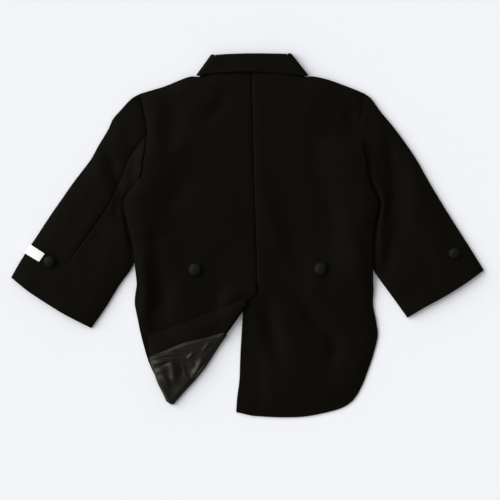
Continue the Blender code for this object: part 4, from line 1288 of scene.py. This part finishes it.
class TAILCOAT_OT_buttons(bpy.types.Operator):
    """Builds the four cloth-covered buttons"""
    bl_idname = "tailcoat.buttons"
    bl_label = "Buttons"

    def execute(self, context):
        """Two buttons at the back of the waist and one on each sleeve."""
        sizes, colours = chosen(context)
        look = cloth_material("covered_button_cloth", colours.button, sizes.twill * BUTTON_WEAVE,
                              BUTTON_FINISH)
        for node, x, y, diameter in BUTTONS:
            add_piece(node, "cover", spun_button(x, y, diameter, button_ground(node, x, y)), look)
        return {"FINISHED"}


class TAILCOAT_OT_label(bpy.types.Operator):
    """Builds the bare woven label on the left sleeve"""
    bl_idname = "tailcoat.label"
    bl_label = "Label"

    def execute(self, context):
        """Ribbon laid round the sleeve's outer edge."""
        sizes, colours = chosen(context)
        look = ribbon_material("woven_ribbon", colours.label, sizes.ribbon_rib)
        add_cloth("sleeve_label", build_label(sleeve_of("left")), sizes.thin_cloth / MM, look,
                  LABEL_GRAIN, "ribbon")
        return {"FINISHED"}


class TAILCOAT_OT_stitches(bpy.types.Operator):
    """Sews the lining to its facing and hem, and the label to its sleeve"""
    bl_idname = "tailcoat.stitches"
    bl_label = "Stitches"

    def execute(self, context):
        """Fell stitches in black thread and tack stitches in white thread."""
        sizes, colours = chosen(context)
        black = new_material("black_thread", colours.black_thread, BLACK_THREAD_FINISH)[0]
        white = new_material("white_thread", colours.white_thread, WHITE_THREAD_FINISH)[0]
        tree = stitch_tree()
        fell = {"Spacing": sizes.stitch_spacing, "Length": sizes.stitch_length,
                "Thread": sizes.thread, "Lean": math.radians(FELL_LEAN)}
        seam = [above_flap(s, FACING_Q(s)) for s in steps(30, LINING_SPAN[0] + 3, FACING_END - 1)]
        hem = [above_flap(s, HEM_Q(s) + LINING_INSET) for s in steps(24, FACING_SEAM[-1][0] + 2, 151)]
        add_stitches("lining_seam_stitches", tree, seam, fell, black)
        add_stitches("lining_hem_stitches", tree, hem, fell, black)
        sleeve = sleeve_of("left")
        tack = {"Spacing": sizes.stitch_spacing / 2, "Length": sizes.stitch_length * 0.8,
                "Thread": sizes.thread, "Lean": math.radians(TACK_LEAN)}
        start, end = LABEL_SPAN
        margin = (end - start) * LABEL_MARGIN
        line = [on_label(sleeve, LABEL_REACH - 0.004, v) for v in steps(8, start + margin, end - margin)]
        add_stitches("label_stitches", tree, line, tack, white)
        return {"FINISHED"}


class TAILCOAT_OT_stage(bpy.types.Operator):
    """Adds the floor, the lights and the camera"""
    bl_idname = "tailcoat.stage"
    bl_label = "Floor, lights and camera"

    def execute(self, context):
        """Pale floor, soft light from the left and a camera that looks straight down."""
        scene, colours = context.scene, context.scene.tailcoat_colours
        shape = bmesh.new()
        bmesh.ops.create_grid(shape, x_segments=2, y_segments=2, size=FLOOR_SIZE)
        bmesh.ops.translate(shape, verts=shape.verts, vec=(0, 0, -FLOOR_GAP))
        mesh = bpy.data.meshes.new("floor")
        shape.to_mesh(mesh)
        shape.free()
        made, tree, shader = new_material("pale_floor", colours.floor, FLOOR_FINISH)
        place = linked(tree, "ShaderNodeTexCoord").outputs["Object"]
        mottled(tree, shader, colours.floor, place, *FLOOR_SPOTS)
        mesh.materials.append(made)
        floor = bpy.data.objects.new("floor", mesh)
        scene.collection.objects.link(floor)

        world = bpy.data.worlds.new("studio")
        world.use_nodes = True
        room = world.node_tree
        background = room.nodes["Background"]
        background.inputs["Color"].default_value = (*ROOM_COLOUR, 1)
        place = linked(room, "ShaderNodeTexCoord").outputs["Generated"]
        level = Vector((KEY_FROM[0], KEY_FROM[1], 0)).normalized()
        side = linked(room, "ShaderNodeVectorMath", {1: level}, operation="DOT_PRODUCT")
        light = linked(room, "ShaderNodeMath", {1: ROOM_STRENGTH * ROOM_TILT, 2: ROOM_STRENGTH},
                       operation="MULTIPLY_ADD")
        room.links.new(place, side.inputs[0])
        room.links.new(side.outputs["Value"], light.inputs[0])
        room.links.new(light.outputs["Value"], background.inputs["Strength"])
        scene.world = world
        sun = bpy.data.lights.new("soft_key", "SUN")
        sun.energy, sun.angle = KEY_STRENGTH, math.radians(KEY_ANGLE)
        key = bpy.data.objects.new("soft_key", sun)
        key.rotation_euler = Vector(KEY_FROM).to_track_quat("Z", "Y").to_euler()
        scene.collection.objects.link(key)

        lens = bpy.data.cameras.new("camera")
        lens.sensor_width = 36
        lens.lens = lens.sensor_width * CAMERA_HEIGHT / VIEW_WIDTH
        camera = bpy.data.objects.new("camera", lens)
        camera.location = (*VIEW_CENTRE, CAMERA_HEIGHT + VIEW_LEVEL)
        scene.collection.objects.link(camera)
        scene.camera = camera
        scene.view_settings.view_transform = "Standard"
        return {"FINISHED"}


class TAILCOAT_PT_panel(bpy.types.Panel):
    """Sizes, colours and pieces of the coat"""
    bl_idname = "TAILCOAT_PT_panel"
    bl_label = "Tailcoat"
    bl_space_type = "VIEW_3D"
    bl_region_type = "UI"
    bl_category = "Tailcoat"

    def draw(self, context):
        """Sizes and colours, then a button for each operator."""
        for group in (context.scene.tailcoat_sizes, context.scene.tailcoat_colours):
            box = self.layout.box()
            for name in group.__annotations__:
                box.prop(group, name)
        for operator in OPERATORS:
            self.layout.operator(operator.bl_idname)


OPERATORS = (TAILCOAT_OT_fronts, TAILCOAT_OT_backs, TAILCOAT_OT_collar, TAILCOAT_OT_sleeves,
             TAILCOAT_OT_folded_corner, TAILCOAT_OT_buttons, TAILCOAT_OT_label,
             TAILCOAT_OT_stitches, TAILCOAT_OT_stage)
CLASSES = (TailcoatSizes, TailcoatColours) + OPERATORS + (TAILCOAT_PT_panel,)


def register():
    """Register the classes and the scene's properties."""
    for item in CLASSES:
        bpy.utils.register_class(item)
    bpy.types.Scene.tailcoat_sizes = bpy.props.PointerProperty(type=TailcoatSizes)
    bpy.types.Scene.tailcoat_colours = bpy.props.PointerProperty(type=TailcoatColours)


def unregister():
    """Take away the properties and the classes."""
    del bpy.types.Scene.tailcoat_colours
    del bpy.types.Scene.tailcoat_sizes
    for item in reversed(CLASSES):
        bpy.utils.unregister_class(item)


def main():
    """Build the coat and the stage."""
    register()
    noise.seed_set(CREASE_SEED)
    for operator in OPERATORS:
        group, name = operator.bl_idname.split(".")
        getattr(getattr(bpy.ops, group), name)()


if __name__ == "__main__":
    main()
